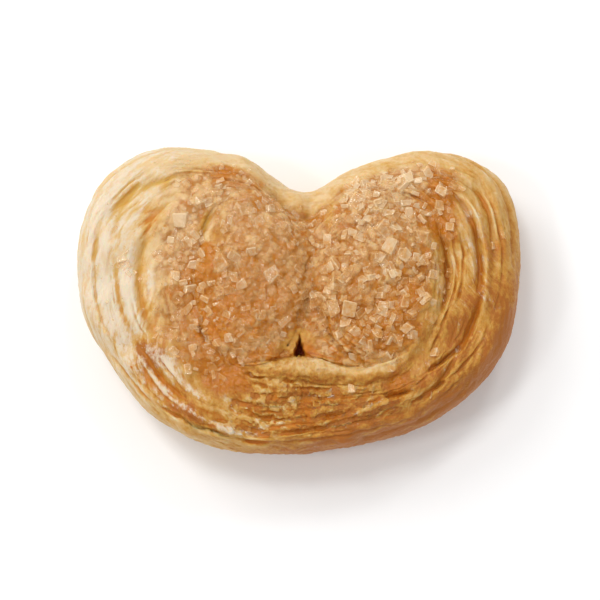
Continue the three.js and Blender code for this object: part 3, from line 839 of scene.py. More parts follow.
@dataclass(frozen=True)
class SugarFinish:
    """Coarse sugar that has half melted: clear to peach, with sharp glints from the lamps, painted highlights
    on the worn edges and painted shade on the lower corners. Colours are linear.
    """

    name: str = "sugar"
    clear: Colour = (0.98, 0.77, 0.47)
    peach: Colour = (0.89, 0.53, 0.195)
    caramel: Colour = (0.76, 0.36, 0.07)
    roughness: float = 0.04
    least_cover: float = 0.16
    most_cover: float = 0.48
    rim_cover: float = 0.16
    cloud_scale: float = 1700.0
    cloud_height: float = 0.0002

    def build(self) -> bpy.types.Material:
        """The sugar's material, which reads each crystal's tone."""
        material, kit = new_material(self.name)
        place = kit.add("ShaderNodeTexCoord").outputs["Object"]
        tone, toast, shade, rim, bold = kit.numbers("tone", "toast", "shade", "rim", "bold")
        noise_inputs = {"Vector": place, "Scale": self.cloud_scale, "Detail": 3.0}
        cloud = kit.add("ShaderNodeTexNoise", noise_inputs).outputs[0]
        spot = kit.add("ShaderNodeVectorMath", {0: place, "Scale": 1 / MM}, operation="SCALE").outputs[0]
        inner = Cells.build(kit, spot, 0.5, 0.1)
        # Lower corners (shade) go darker towards caramel and the worn edges (rim) paler: painted shade and
        # painted highlights on each crystal.
        mixed = kit.total(
            -0.24, (toast, 0.50), (tone, 0.50), (shade, 0.45), (inner.tone(kit, 0), 0.40), (rim, -0.12),
            (kit.math("SUBTRACT", cloud, 0.5), 1.6),
        )
        ramp = kit.ramp(mixed, ((0.05, self.clear), (0.50, self.peach), (1.0, self.caramel)))
        rough = kit.spread(cloud, 0.3, 0.7, (self.roughness, self.roughness + 0.14))
        bump = kit.add("ShaderNodeBump", {"Height": cloud, "Strength": 0.6, "Distance": self.cloud_height})
        opacity = kit.spread(tone, 0.0, 1.0, (self.most_cover, self.least_cover))
        kit.surface({
            "Base Color": ramp, "Roughness": rough, "Normal": bump.outputs[0], "IOR": 1.56,
            "Alpha": kit.total(kit.math("MULTIPLY", opacity, bold), (rim, self.rim_cover)),
            "Specular IOR Level": 0.65,
        })
        return material


@dataclass(frozen=True)
class FloorFinish:
    """A plain pale matt floor."""

    colour: Colour = (0.96, 0.96, 0.96)
    roughness: float = 0.9

    def build(self) -> bpy.types.Material:
        """The floor's material."""
        material, kit = new_material("floor")
        kit.surface({
            "Base Color": opaque(self.colour), "Roughness": self.roughness, "Specular IOR Level": 0.2,
        })
        return material


@dataclass(frozen=True)
class Blocks:
    """Squarish crystals in a melted crust, one to a cell of a loose grid, each turned its own way, in mm."""

    size: float
    seed: float

    def lay(self, x: Array, y: Array) -> tuple[Array, Array, Array]:
        """Lays the crystals out on the upper face.

        Args:
            x: where each point is along the length.
            y: where each point is along the width.

        Returns:
            How far each point is on its crystal, from 0 to 1, the crystal's tone, and how far it leans up.
        """
        cell_x, cell_y = np.floor(x / self.size), np.floor(y / self.size)
        nearest, tone, lean = np.full(x.shape, 9.0), np.zeros(x.shape), np.zeros(x.shape)
        for step_x, step_y in product((-1, 0, 1), repeat=2):
            number = (cell_x + step_x) * 0.731 + (cell_y + step_y) * 1.913 + self.seed
            middle = [cell + step + 0.5 + 0.75 * (chance(number, purpose) - 0.5)
                      for cell, step, purpose in ((cell_x, step_x, 1), (cell_y, step_y, 2))]
            away = [x / self.size - middle[0], y / self.size - middle[1]]
            angle = math.tau * chance(number, 3)
            run = away[0] * np.cos(angle) + away[1] * np.sin(angle)
            across = (away[1] * np.cos(angle) - away[0] * np.sin(angle)) * (1 + 0.5 * chance(number, 4))
            reach = (run**4 + across**4) ** 0.25 / (0.8 + 0.4 * chance(number, 5))
            closer = reach < nearest
            nearest = np.where(closer, reach, nearest)
            tone = np.where(closer, chance(number, 6), tone)
            lean = np.where(closer, run * 2 * (chance(number, 7) - 0.5), lean)
        return 1 - ease(nearest, 0.27, 0.15), tone, lean


@dataclass
class Pastry:
    """The pastry itself: one closed surface of rings round the eye, with the fine relief of its layers."""

    shape: Shape = SHAPE
    directions: int = 468
    heart_rings: int = 104
    face_rings: int = 64
    shoulder_rings: int = 34
    foot_rings: int = 16
    under_rings: int = 22
    seed: int = 11
    short_creases: int = 200
    hollow_reach: int = 7
    fields: dict[str, Array] = field(default_factory=dict)

    def rings(self) -> Array:
        """The ring value of each row, from the eye over the rim to the underside."""
        return np.concatenate([
            np.arange(1, self.heart_rings) / self.heart_rings - 1,
            np.arange(self.face_rings) / self.face_rings,
            1 + np.arange(self.shoulder_rings) / self.shoulder_rings,
            2 + np.arange(self.foot_rings) / self.foot_rings,
            3 + np.arange(self.under_rings) / self.under_rings,
        ])

    def coarse(self) -> tuple[Array, Array, Array]:
        """The form as the solid has it.

        Returns:
            Rings as a column, directions as a row, and the points as rows by directions by three, in mm.
        """
        rings = self.rings()[:, None]
        direction = np.arange(self.directions)[None, :] * 360.0 / self.directions
        points = np.zeros((len(rings), self.directions, 3))
        for row, ring in enumerate(rings[:, 0]):
            distance, height = self.shape.section(ring, direction[0])
            x, y = self.shape.place(direction[0], distance)
            points[row] = np.stack([x, y, height], axis=-1)
        return rings, direction, points

    @staticmethod
    def steps(points: Array) -> Array:
        """How far each point is from the one before it, in the next ring inwards."""
        return np.linalg.norm(np.diff(points, axis=0, prepend=points[:1]), axis=-1)

    @staticmethod
    def normals(points: Array) -> Array:
        """The outward normal of each point of the rings."""
        outward = np.gradient(points, axis=0)
        onward = (np.roll(points, -1, axis=1) - np.roll(points, 1, axis=1)) / 2
        normal = np.cross(outward, onward)
        return normal / (np.linalg.norm(normal, axis=-1, keepdims=True) + 1e-12)

    def crease(
        self, fold: Fold, number: int, rings: Array, direction: Array, span: Array
    ) -> tuple[Array, Array]:
        """Where a fold is, with the small wander of its line.

        Args:
            fold: the fold.
            number: which fold it is, for the wander.
            rings: the rings as a column.
            direction: the directions as a row.
            span: the length of one ring unit, in mm.

        Returns:
            The offset from the fold's line in mm, and how strong it is there.
        """
        part, line = fold.line(direction)
        wander = 0.16 * noise([direction / 5.0, np.zeros(1), np.full(1, number * 1.7)], self.seed)
        wander += 0.06 * noise([direction / 1.3, np.ones(1), np.full(1, number * 1.7)], self.seed)
        uneven = 1 + 0.35 * noise([direction / 3.0, part, part], self.seed + number)
        return (rings - line) * span + wander, taper(part, FOLD_TAPER) * uneven

    def random_creases(self) -> list[Fold]:
        """The short fine creases between the named folds, more of them where the dough is craggy."""
        draw = np.random.default_rng(self.seed)
        creases = []
        while len(creases) < self.short_creases:
            ring, start = draw.uniform(0.04, 1.35), draw.uniform(0, 360)
            low_side = 215 < start < 335
            if draw.uniform() > 0.5 * (0.5 if ring > 1.05 else 1.0):
                continue
            reach = draw.uniform(4, 16) * (1.0 if low_side else 0.8)
            drift = draw.normal(0, 0.03)
            depth = draw.uniform(0.06, 0.22)
            width = draw.uniform(0.09, 0.20)
            stain = draw.uniform(0.15, 0.75) * (1.0 if low_side else 0.7)
            creases.append(Fold(ring, ring + drift, start, start + reach, depth, width, stain))
        return creases

    def folded(
        self, rings: Array, direction: Array, span: Array, x: Array, y: Array
    ) -> tuple[Array, Array]:
        """What the folds and creases add to the coarse form.

        Args:
            rings: the rings as a column.
            direction: the directions as a row.
            span: the length of one ring unit, in mm.
            x: where each point is along the length.
            y: where each point is along the width.

        Returns:
            Depth in mm under the coarse form, and browning from stain and painted shade, from 0 up.
        """
        depth, stain = np.zeros(x.shape), np.zeros(x.shape)
        for number, fold in enumerate((*FOLDS, *FINE_FOLDS, *self.random_creases())):
            formed = number < len(FOLDS)
            offset, strength = self.crease(fold, number, rings, direction, span)
            if formed and fold.depth > 0 and 215 < (fold.start + fold.end) / 2 < 325:
                clumps = noise([x / 2.4, y / 1.3, x * 0 + number], self.seed + 13)
                filled = 0.8 * smooth(1.4 * clumps + 0.5)
                depth -= filled * fold.depth * strength * bell(offset, fold.half_width)
                strength = strength * (1 - filled)
            if fold.depth > 0:
                width = fold.half_width * (0.4 if formed else 1.0)
                cut = bell(offset, width) - 0.3 * bell(offset + 2.0 * width, 0.9 * width)
                depth += (0.25 if formed else 1.0) * fold.depth * strength * cut
                wide = bell(offset, fold.half_width * 1.3)
                soaked = 0.62 * wide + 0.5 * bell(offset, width)
                stain = np.maximum(stain, fold.stain * strength * soaked)
            else:
                stain -= 0.15 * strength * bell(offset, fold.half_width)
        return depth, stain

    def relief(
        self, rings: Array, direction: Array, points: Array
    ) -> tuple[Array, Array]:
        """The fine relief on the coarse form, and how brown it is from stain and painted shade.

        Args:
            rings: the rings as a column.
            direction: the directions as a row.
            points: the coarse points.

        Returns:
            Depth in mm under the coarse form, and browning from stain and painted shade, from 0 up.
        """
        x, y, z = np.moveaxis(points, -1, 0)
        step = self.steps(points)
        run = np.cumsum(step, axis=0)
        ring_step = np.diff(rings, axis=0, prepend=rings[:1] - 1 / self.heart_rings)
        span = step / ring_step
        span[0] = span[1]
        depth, stain = self.folded(rings, direction, span, x, y)
        cosine, sine = np.cos(np.radians(direction)), np.sin(np.radians(direction))

        def layers(turns: float, thickness: float, seed: int, shift: Array | float = 0.0) -> Array:
            """Noise in layers that run round the eye, each so many mm thick."""
            return noise([cosine * turns + shift, sine * turns, run / thickness], self.seed + seed)

        low_side = smooth(along(direction, 205, 240)) * smooth(along(direction, 352, 325))
        belly = low_side * ease(rings, -0.02, 0.1) * ease(rings, 1.12, -0.15)
        face = ease(rings, -0.02, 0.08) * ease(rings, 1.3, -0.3)
        wall = ease(rings, 0.9, 0.3) * ease(rings, 3.05, -0.2)
        coarse_layers = layers(8, 0.75, 1)
        fine_layers = layers(18, 0.36, 2)
        grooves = 0.65 * bell(coarse_layers, 0.28) + 0.45 * bell(fine_layers, 0.3)
        layered = 0.17 * wall + 0.10 * face + 0.02 * belly
        depth += layered * grooves
        stain += belly * 0.30 * grooves * ease(flat_noise(x, y, 1.8, self.seed + 3), -0.35, 0.9)
        stain += 0.07 * face * grooves
        crag = noise([x / 0.9, y / 0.9, z / 0.9], self.seed + 4)
        fine_crag = noise([x / 0.42, y / 0.42, z / 0.42], self.seed + 5)
        inside = ease(rings, 0.06, -0.1)
        depth += (0.12 * inside + 0.07 * belly + 0.03 * wall + 0.05 * face) * crag
        depth += (0.09 * inside + 0.05 * belly + 0.02) * fine_crag
        pits = layers(9, 0.85, 6, 0.3 * crag)
        pits = ease(pits, 0.34, 0.35)
        depth += 0.26 * belly * pits
        stain += 0.60 * belly * pits
        torn = layers(7.5, 0.95, 14)
        torn = torn + 0.45 * crag + 0.45 * fine_crag
        torn = belly * ease(torn, -0.05, 0.14)
        depth -= 0.15 * torn
        stain -= 0.30 * torn
        self.fields["torn"] = torn
        left_face = face * ease(x, -11.5, -5.0) * ease(rings, 1.15, -0.2)
        streaks = bell(layers(7, 0.55, 15), 0.22)
        patchy = ease(flat_noise(x, y, 2.6, self.seed + 16), -0.25, 0.5)
        depth += 0.10 * left_face * streaks * patchy
        stain += 0.60 * left_face * streaks * patchy
        gaps = ease(flat_noise(x, y, 0.8, self.seed + 12, 7), 0.25, 0.4)
        depth += 0.12 * inside * gaps
        for number, line in enumerate(CURL_LINES):
            radius = (line.curl.half_length + line.curl.half_width) / 2
            part = along(line.curl.angle(x, y), line.start, line.end)
            offset = (line.curl.spread(x, y) - line.spread) * radius
            offset += 0.12 * flat_noise(x, y, 1.4, self.seed + 7, number)
            strength = taper(part, FOLD_TAPER) * bell(offset, line.half_width) * inside
            depth += line.depth * strength
            stain = np.maximum(stain, line.stain * strength)
        under = ease(rings, 3.0, 0.15)
        scroll = layers(3, 1.5, 8)
        depth = depth * (1 - under) + under * 0.28 * bell(scroll, 0.22)
        stain = stain * (1 - under) + under * 0.5 * bell(scroll, 0.3)
        return depth, stain

    def browning(self, rings: Array, direction: Array, points: Array) -> None:
        """Works out how toasted, pale, glazed and sugared each point is, painted shade and light included,
        and keeps it in fields.
        """
        x, y, z = points[..., 0], points[..., 1], points[..., 2]
        warp_x = x + 0.7 * noise([x / 1.6, y / 1.6, z / 3], self.seed + 20)
        warp_y = y + 0.7 * noise([x / 1.6, y / 1.6, z / 3 + 9], self.seed + 21)
        above = ease(rings, 1.35, -0.4)
        under = ease(rings, 2.9, 0.2)
        eye_distance = np.hypot(x - self.shape.eye[0], y - self.shape.eye[1])
        on_spine = smooth(along(direction, 203, 214)) * smooth(along(direction, 358, 350))
        on_spine = on_spine * smooth(self.shape.spine.part(direction, eye_distance) * 4 + 0.5)
        # Browner towards the lower right: partly browning and partly painted shade on the side away from the
        # key lamp.
        toast = 0.35 + 0.012 * x - 0.016 * y + 0.10 * noise([x / 5, y / 5, z / 5], self.seed + 22)
        toast = toast + above * cover(BROWN_AND_SHADE_PATCHES, warp_x, warp_y)
        toast = toast + 0.12 * (1 - above) * ease(z, 4.5, -4) + 0.2 * under
        # Walls facing the lower right are browner: partly browning and partly painted shade on the side away
        # from the key lamp.
        facing = np.cos(np.radians(direction - 310)) + 0.25
        toast = toast + 0.30 * ease(rings, 0.95, 0.35) * smooth(facing * 1.3 - 0.2) * (1 - under)
        on_spine = on_spine * ease(rings, 0.08, -0.12)
        part = self.shape.spine.part(direction, eye_distance)
        toast = toast - on_spine * (0.40 - 0.62 * ease(part, 0.4, 0.5))
        pale = above * cover(PALE_PATCHES, warp_x, warp_y)
        # Walls facing left are painted paler and the others a little darker: painted light and shade by which
        # way the wall faces.
        leftward = smooth(np.cos(np.radians(direction - 163)) * 2.4 - 1.2)
        pale = pale + ease(rings, 1.0, 0.3) * (0.68 * leftward - 0.18) * (1 - under)
        lower_left = smooth(np.cos(np.radians(direction - 225)) * 2 - 1)
        pale = pale - 0.48 * on_spine - 0.25 * ease(rings, 1.0, 0.15) * lower_left
        low_side = smooth(along(direction, 205, 235)) * smooth(along(direction, 350, 325))
        for fold in FOLDS:
            if fold.depth < 0:
                part, line = fold.line(direction)
                crest = taper(part, FOLD_TAPER) * bell((rings - line) * 12.0, 0.7)
                pale = pale + 0.35 * crest * (1 - 0.8 * low_side * smooth(x / 4.0))
        bare = cover(BARE_PATCHES, warp_x, warp_y)
        sugar = cover(SUGAR_PATCHES, warp_x, warp_y)
        sugar = clamp((sugar - 0.25) * 1.35) * (1 - clamp(bare)) * (1 - on_spine) * above
        sugar = sugar * ease(eye_distance, 1.5, 0.9)
        grains = above * cover(GRAIN_PATCHES, x, y)
        coarseness = 0.78 + 0.22 * ease(x, 1.0, 4.0) + 0.08 * ease(x, -9.5, -2.0)
        syrup = clamp(cover(SYRUP_PATCHES, warp_x, warp_y))
        melted = above * (1 - on_spine) * clamp(SMOOTH_PATCH.cover(warp_x, warp_y))
        vivid = 0.28 * ease(x, 1.0, 5.0) - 0.12 + 1.10 * syrup - 0.16 * melted
        belly = low_side * ease(rings, 0.02, 0.15) * ease(rings, 1.15, -0.2)
        layered = 0.65 + 0.35 * belly - 0.25 * ease(rings, 0.95, 0.3) * ease(x, -14, 8)
        layered = layered * (1 - 0.65 * clamp(sugar * 1.5)) * ease(rings, -0.3, 0.3)
        layered = np.maximum(layered, 0.6 * on_spine)
        torn = self.fields.pop("torn") * (1 - clamp(sugar * 1.5))
        scrappy = torn * (0.34 + 0.66 * ease(x, 2.0, -7.0))
        toast = toast + (0.40 - 0.14 * smooth(x / 4.0)) * belly - 0.46 * scrappy
        pale = pale + 0.32 * (scrappy - 0.45 * torn) - 0.15 * belly
        self.fields.update(
            toast=toast + 0.10 * sugar, pale=pale * (1 - 0.7 * clamp(sugar * 1.4)), sugar=sugar,
            glaze=clamp(1.1 * sugar + 0.8 * above * syrup + melted), vivid=vivid, coarseness=coarseness,
            loose=np.maximum(sugar, grains),
            sprinkle=0.3 * sugar * np.where(x > 1.5, 1.0, 0.5) + 0.12 * above * ease(x, -12.0, -4.0),
            layered=clamp(layered),
            bold=0.62 + 0.38 * ease(x, 0.5, 3.0) + 0.30 * ease(x, -7.0, -3.0),
            flaky=clamp(belly),
        )

    def paint_hollow_shade(
        self, rings: Array, direction: Array, points: Array, depth: Array
    ) -> None:
        """Paints shade into the hollows between the layers, as a more golden colour and a golden stain, and
        light onto their crests, as a paler colour.
        """
        face = RIM.reach(direction) - self.shape.shoulder_width(direction)
        total = depth + self.shape.fold_depth(rings, direction, face - HEART.reach(direction)) * (rings < 3)
        reach = self.hollow_reach
        padded = np.pad(total, ((reach, reach), (0, 0)), mode="edge")
        mean = sum(padded[row:row + len(total)] for row in range(2 * reach + 1)) / (2 * reach + 1)
        hollow = clamp((total - mean) / 0.30, -1, 1) * (1 - clamp(self.fields["sugar"] * 1.5))
        hollow = hollow * (rings < 2.9)
        left = ease(points[..., 0], -5.0, -8.0)
        self.fields["toast"] = self.fields["toast"] + (0.30 - 0.16 * left) * hollow
        self.fields["pale"] = self.fields["pale"] - 0.40 * hollow * left
        self.fields["honeyed"] = clamp(0.35 * hollow) * left

    def set_sugar(self, points: Array) -> Array:
        """Sets half-melted crystals in the crust, keeps them in fields, and gives their rise in mm."""
        x, y = points[..., 0], points[..., 1]
        warp_x = x + 0.22 * flat_noise(x, y, 0.7, self.seed + 30)
        warp_y = y + 0.22 * flat_noise(x, y, 0.7, self.seed + 31, 5)
        large, large_tone, large_lean = np.where(
            x > 0.8, Blocks(1.60, 3.0).lay(warp_x, warp_y), Blocks(2.30, 5.0).lay(warp_x, warp_y),
        )
        small, small_tone, small_lean = np.where(
            x > 0.8, Blocks(1.15, 8.0).lay(warp_x, warp_y), Blocks(1.45, 2.0).lay(warp_x, warp_y),
        )
        bold = 0.45 + 0.55 * ease(x, 1.0, 3.0) + 0.35 * ease(x, -9.5, -2.0)
        large, small = large * bold, small * (1 - 0.7 * large * bold)
        shown = 0.55 + 0.45 * ease(x, 0.5, 2.5) + 0.35 * ease(x, -7.0, -3.0)
        self.fields["block"] = np.maximum(large, 0.8 * small) * shown
        self.fields["block_tone"] = small_tone + (large_tone - small_tone) * smooth(large * 2)
        rise = large * (0.22 + 0.30 * large_lean) + small * (0.11 + 0.17 * small_lean)
        return self.fields["glaze"] * rise

    def build(self) -> bpy.types.Object:
        """The pastry as one closed piece."""
        rings, direction, points = self.coarse()
        run = np.cumsum(self.steps(points), axis=0)
        depth, stain = self.relief(rings, direction, points)
        self.browning(rings, direction, points)
        self.paint_hollow_shade(rings, direction, points, depth)
        depth -= self.set_sugar(points)
        eye_x, eye_y = self.shape.eye
        # The eye's hole is painted dark burnt brown: painted shade in the deep hole.
        hole = smooth(1.5 - 2.0 * self.shape.eye_part(points[..., 0], points[..., 1]))
        for speck_x, speck_y, radius in SPECKS:
            away = np.hypot(points[..., 0] - speck_x, points[..., 1] - speck_y)
            stain = np.maximum(stain, 1.9 * bell(away, radius) * (rings < 1.4))
        # Syrup in the creases, and painted shade in the creases and the hollow beside the eye, from the
        # patches above.
        syrup_and_shade = cover(SYRUP_AND_SHADE_PATCHES, points[..., 0], points[..., 1])
        stain = np.maximum(stain, syrup_and_shade * (rings < 1.3))
        # Painted shade from the hollows between the layers is added to the stain here.
        stain = np.maximum(stain, stain * 0.6 + self.fields.pop("honeyed"))
        self.fields["stain"] = clamp(np.maximum(stain, 1.7 * hole * (rings < 0)), 0, 2)
        fade = smooth((np.hypot(points[..., 0] - eye_x, points[..., 1] - eye_y) - 0.4) / 0.6)
        points = points - (depth * fade)[..., None] * self.normals(points)
        points[..., 2] = np.maximum(points[..., 2], 0.0)
        rows, count = points.shape[:2]
        poles = [[eye_x, eye_y, float(points[0, :, 2].mean())], [eye_x, eye_y, 0.0]]
        vertices = np.concatenate([points.reshape(-1, 3), np.array(poles)])
        column = np.arange(count)
        following = (column + 1) % count
        inner = np.arange(rows - 1)[:, None] * count
        quads = np.stack([
            inner + column, inner + count + column, inner + count + following, inner + following,
        ], axis=-1).reshape(-1, 4)
        first_pole, last_row = rows * count, (rows - 1) * count
        caps = [(first_pole, a, b) for a, b in zip(column, following)]
        caps += [(first_pole + 1, last_row + b, last_row + a) for a, b in zip(column, following)]
        piece = new_mesh_object("palmier_pastry", vertices, quads.tolist() + caps, True)
        for name, values in self.fields.items():
            flat = np.broadcast_to(values, (rows, count)).ravel()
            store(piece, name, np.concatenate([flat, [flat[0], flat[-1]]]))
        around = [np.broadcast_to(12 * wave(np.radians(direction)), run.shape) for wave in (np.cos, np.sin)]
        layers = np.stack([*around, run], axis=-1).reshape(-1, 3)
        store(piece, "layers", np.concatenate([layers, [[0, 0, layers[0, 2]], [0, 0, layers[-1, 2]]]]))
        piece.data.materials.append(PastryFinish().build())
        return piece


@dataclass(frozen=True)
class SugarField:
    """An oval that the largest crystals fill by a spiral of even density, in mm."""

    x: float
    y: float
    half_length: float
    half_width: float
    count: int

    def places(self) -> list[tuple[float, float]]:
        """Where the crystals lie."""
        golden_angle = math.pi * (3 - math.sqrt(5))
        places = []
        for number in range(self.count):
            radius = math.sqrt((number + 0.5) / self.count)
            angle = number * golden_angle + self.x
            places.append((
                self.x + self.half_length * radius * math.cos(angle),
                self.y + self.half_width * radius * math.sin(angle),
            ))
        return places


def crystal_mesh(
    sides: tuple[float, float, float], skew: float, number: int, bevel: float
) -> bmesh.types.BMesh:
    """One sugar crystal: a block with uneven corners and narrow worn edges.

    Args:
        sides: its three half sizes in mm.
        skew: how far a corner may move, as a part of its half size.
        number: which crystal it is.
        bevel: the width of the worn edges in mm.

    Returns:
        The crystal round the origin, in mm.
    """
    block = bmesh.new()
    bmesh.ops.create_cube(block, size=2.0)
    shade = block.verts.layers.float.new("shade")
    for corner, vertex in enumerate(block.verts):
        # Each corner's shade: a random tone, plus painted shade on the lower corners.
        vertex[shade] = 0.6 * float(chance(number * 8 + corner, 14)) + (0.7 if vertex.co.z < 0 else 0.0)
        for axis in range(3):
            move = 1 + skew * (2 * float(chance(number * 8 + corner, 10 + axis)) - 1)
            vertex.co[axis] *= sides[axis] * move
    rim = block.faces.layers.float.new("rim")
    if bevel:
        made = bmesh.ops.bevel(
            block, geom=block.edges[:], offset=bevel, segments=1, affect="EDGES", clamp_overlap=True,
        )
        # Worn edges are marked rim; the sugar material paints them paler and more opaque, a painted
        # highlight.
        for face in made["faces"]:
            face[rim] = 1.0
    block.verts.index_update()
    return block


@dataclass
class LargeSugar:
    """The largest crystals, where the solid has them, each sunk about half into the crust."""

    fields: tuple[SugarField, ...] = (
        SugarField(-5.6, 1.6, 6.0, 10.0, 34),
        SugarField(9.4, 1.6, 7.4, 10.2, 46),
        SugarField(-14.0, 3.2, 1.6, 8.0, 8),
    )
    smallest: float = 0.5
    largest: float = 1.05
    narrowest: float = 0.65
    flatness: float = 0.5
    skew: float = 0.32
    lean: float = 0.4
    uprightness: float = 0.6
    bevel: float = 0.13

    def build(self, pastry: bpy.types.Object, finish: bpy.types.Material) -> bpy.types.Object:
        """The crystals on the pastry.

        Args:
            pastry: the piece that they lie on.
            finish: the sugar's material.

        Returns:
            All of them as one piece.
        """
        vertices, faces, rims = [], [], []
        kept = {"tone": [], "toast": [], "bold": [], "shade": []}
        for number, (x, y) in enumerate(place for part in self.fields for place in part.places()):
            above = Vector((x * MM, y * MM, 1.0))
            hit, spot, normal, polygon = pastry.ray_cast(above, Vector((0, 0, -1)))
            if not hit:
                continue
            half = self.smallest + (self.largest - self.smallest) * float(chance(number, 1)) ** 2
            narrow = self.narrowest + (1 - self.narrowest) * float(chance(number, 2))
            sides = (half, half * narrow, half * self.flatness)
            crystal = crystal_mesh(sides, self.skew, number, self.bevel)
            lean = [self.lean * (2 * float(chance(number, purpose)) - 1) for purpose in (3, 4)]
            own = Euler((lean[0], lean[1], 2 * math.pi * float(chance(number, 5)))).to_matrix()
            upright = Vector((0, 0, 1)).slerp(normal, self.uprightness).to_track_quat("Z", "X").to_matrix()
            bmesh.ops.transform(crystal, matrix=(upright @ own).to_4x4(), verts=crystal.verts)
            offset = Vector((x, y, spot.z / MM))
            start, count = len(vertices), len(crystal.verts)
            vertices += [(vertex.co + offset)[:] for vertex in crystal.verts]
            faces += [tuple(start + vertex.index for vertex in face.verts) for face in crystal.faces]
            rims += [face[crystal.faces.layers.float["rim"]] for face in crystal.faces]
            kept["tone"] += [float(chance(number, 6))] * count
            kept["shade"] += [vertex[crystal.verts.layers.float["shade"]] for vertex in crystal.verts]
            below = pastry.data.polygons[polygon].vertices[0]
            for name in ("toast", "bold"):
                kept[name] += [pastry.data.attributes[name].data[below].value] * count
            crystal.free()
        piece = new_mesh_object("sugar_large", np.array(vertices), faces, False)
        for name, values in kept.items():
            store(piece, name, np.array(values))
        store(piece, "rim", np.array(rims), "FACE")
        piece.data.materials.append(finish)
        return piece


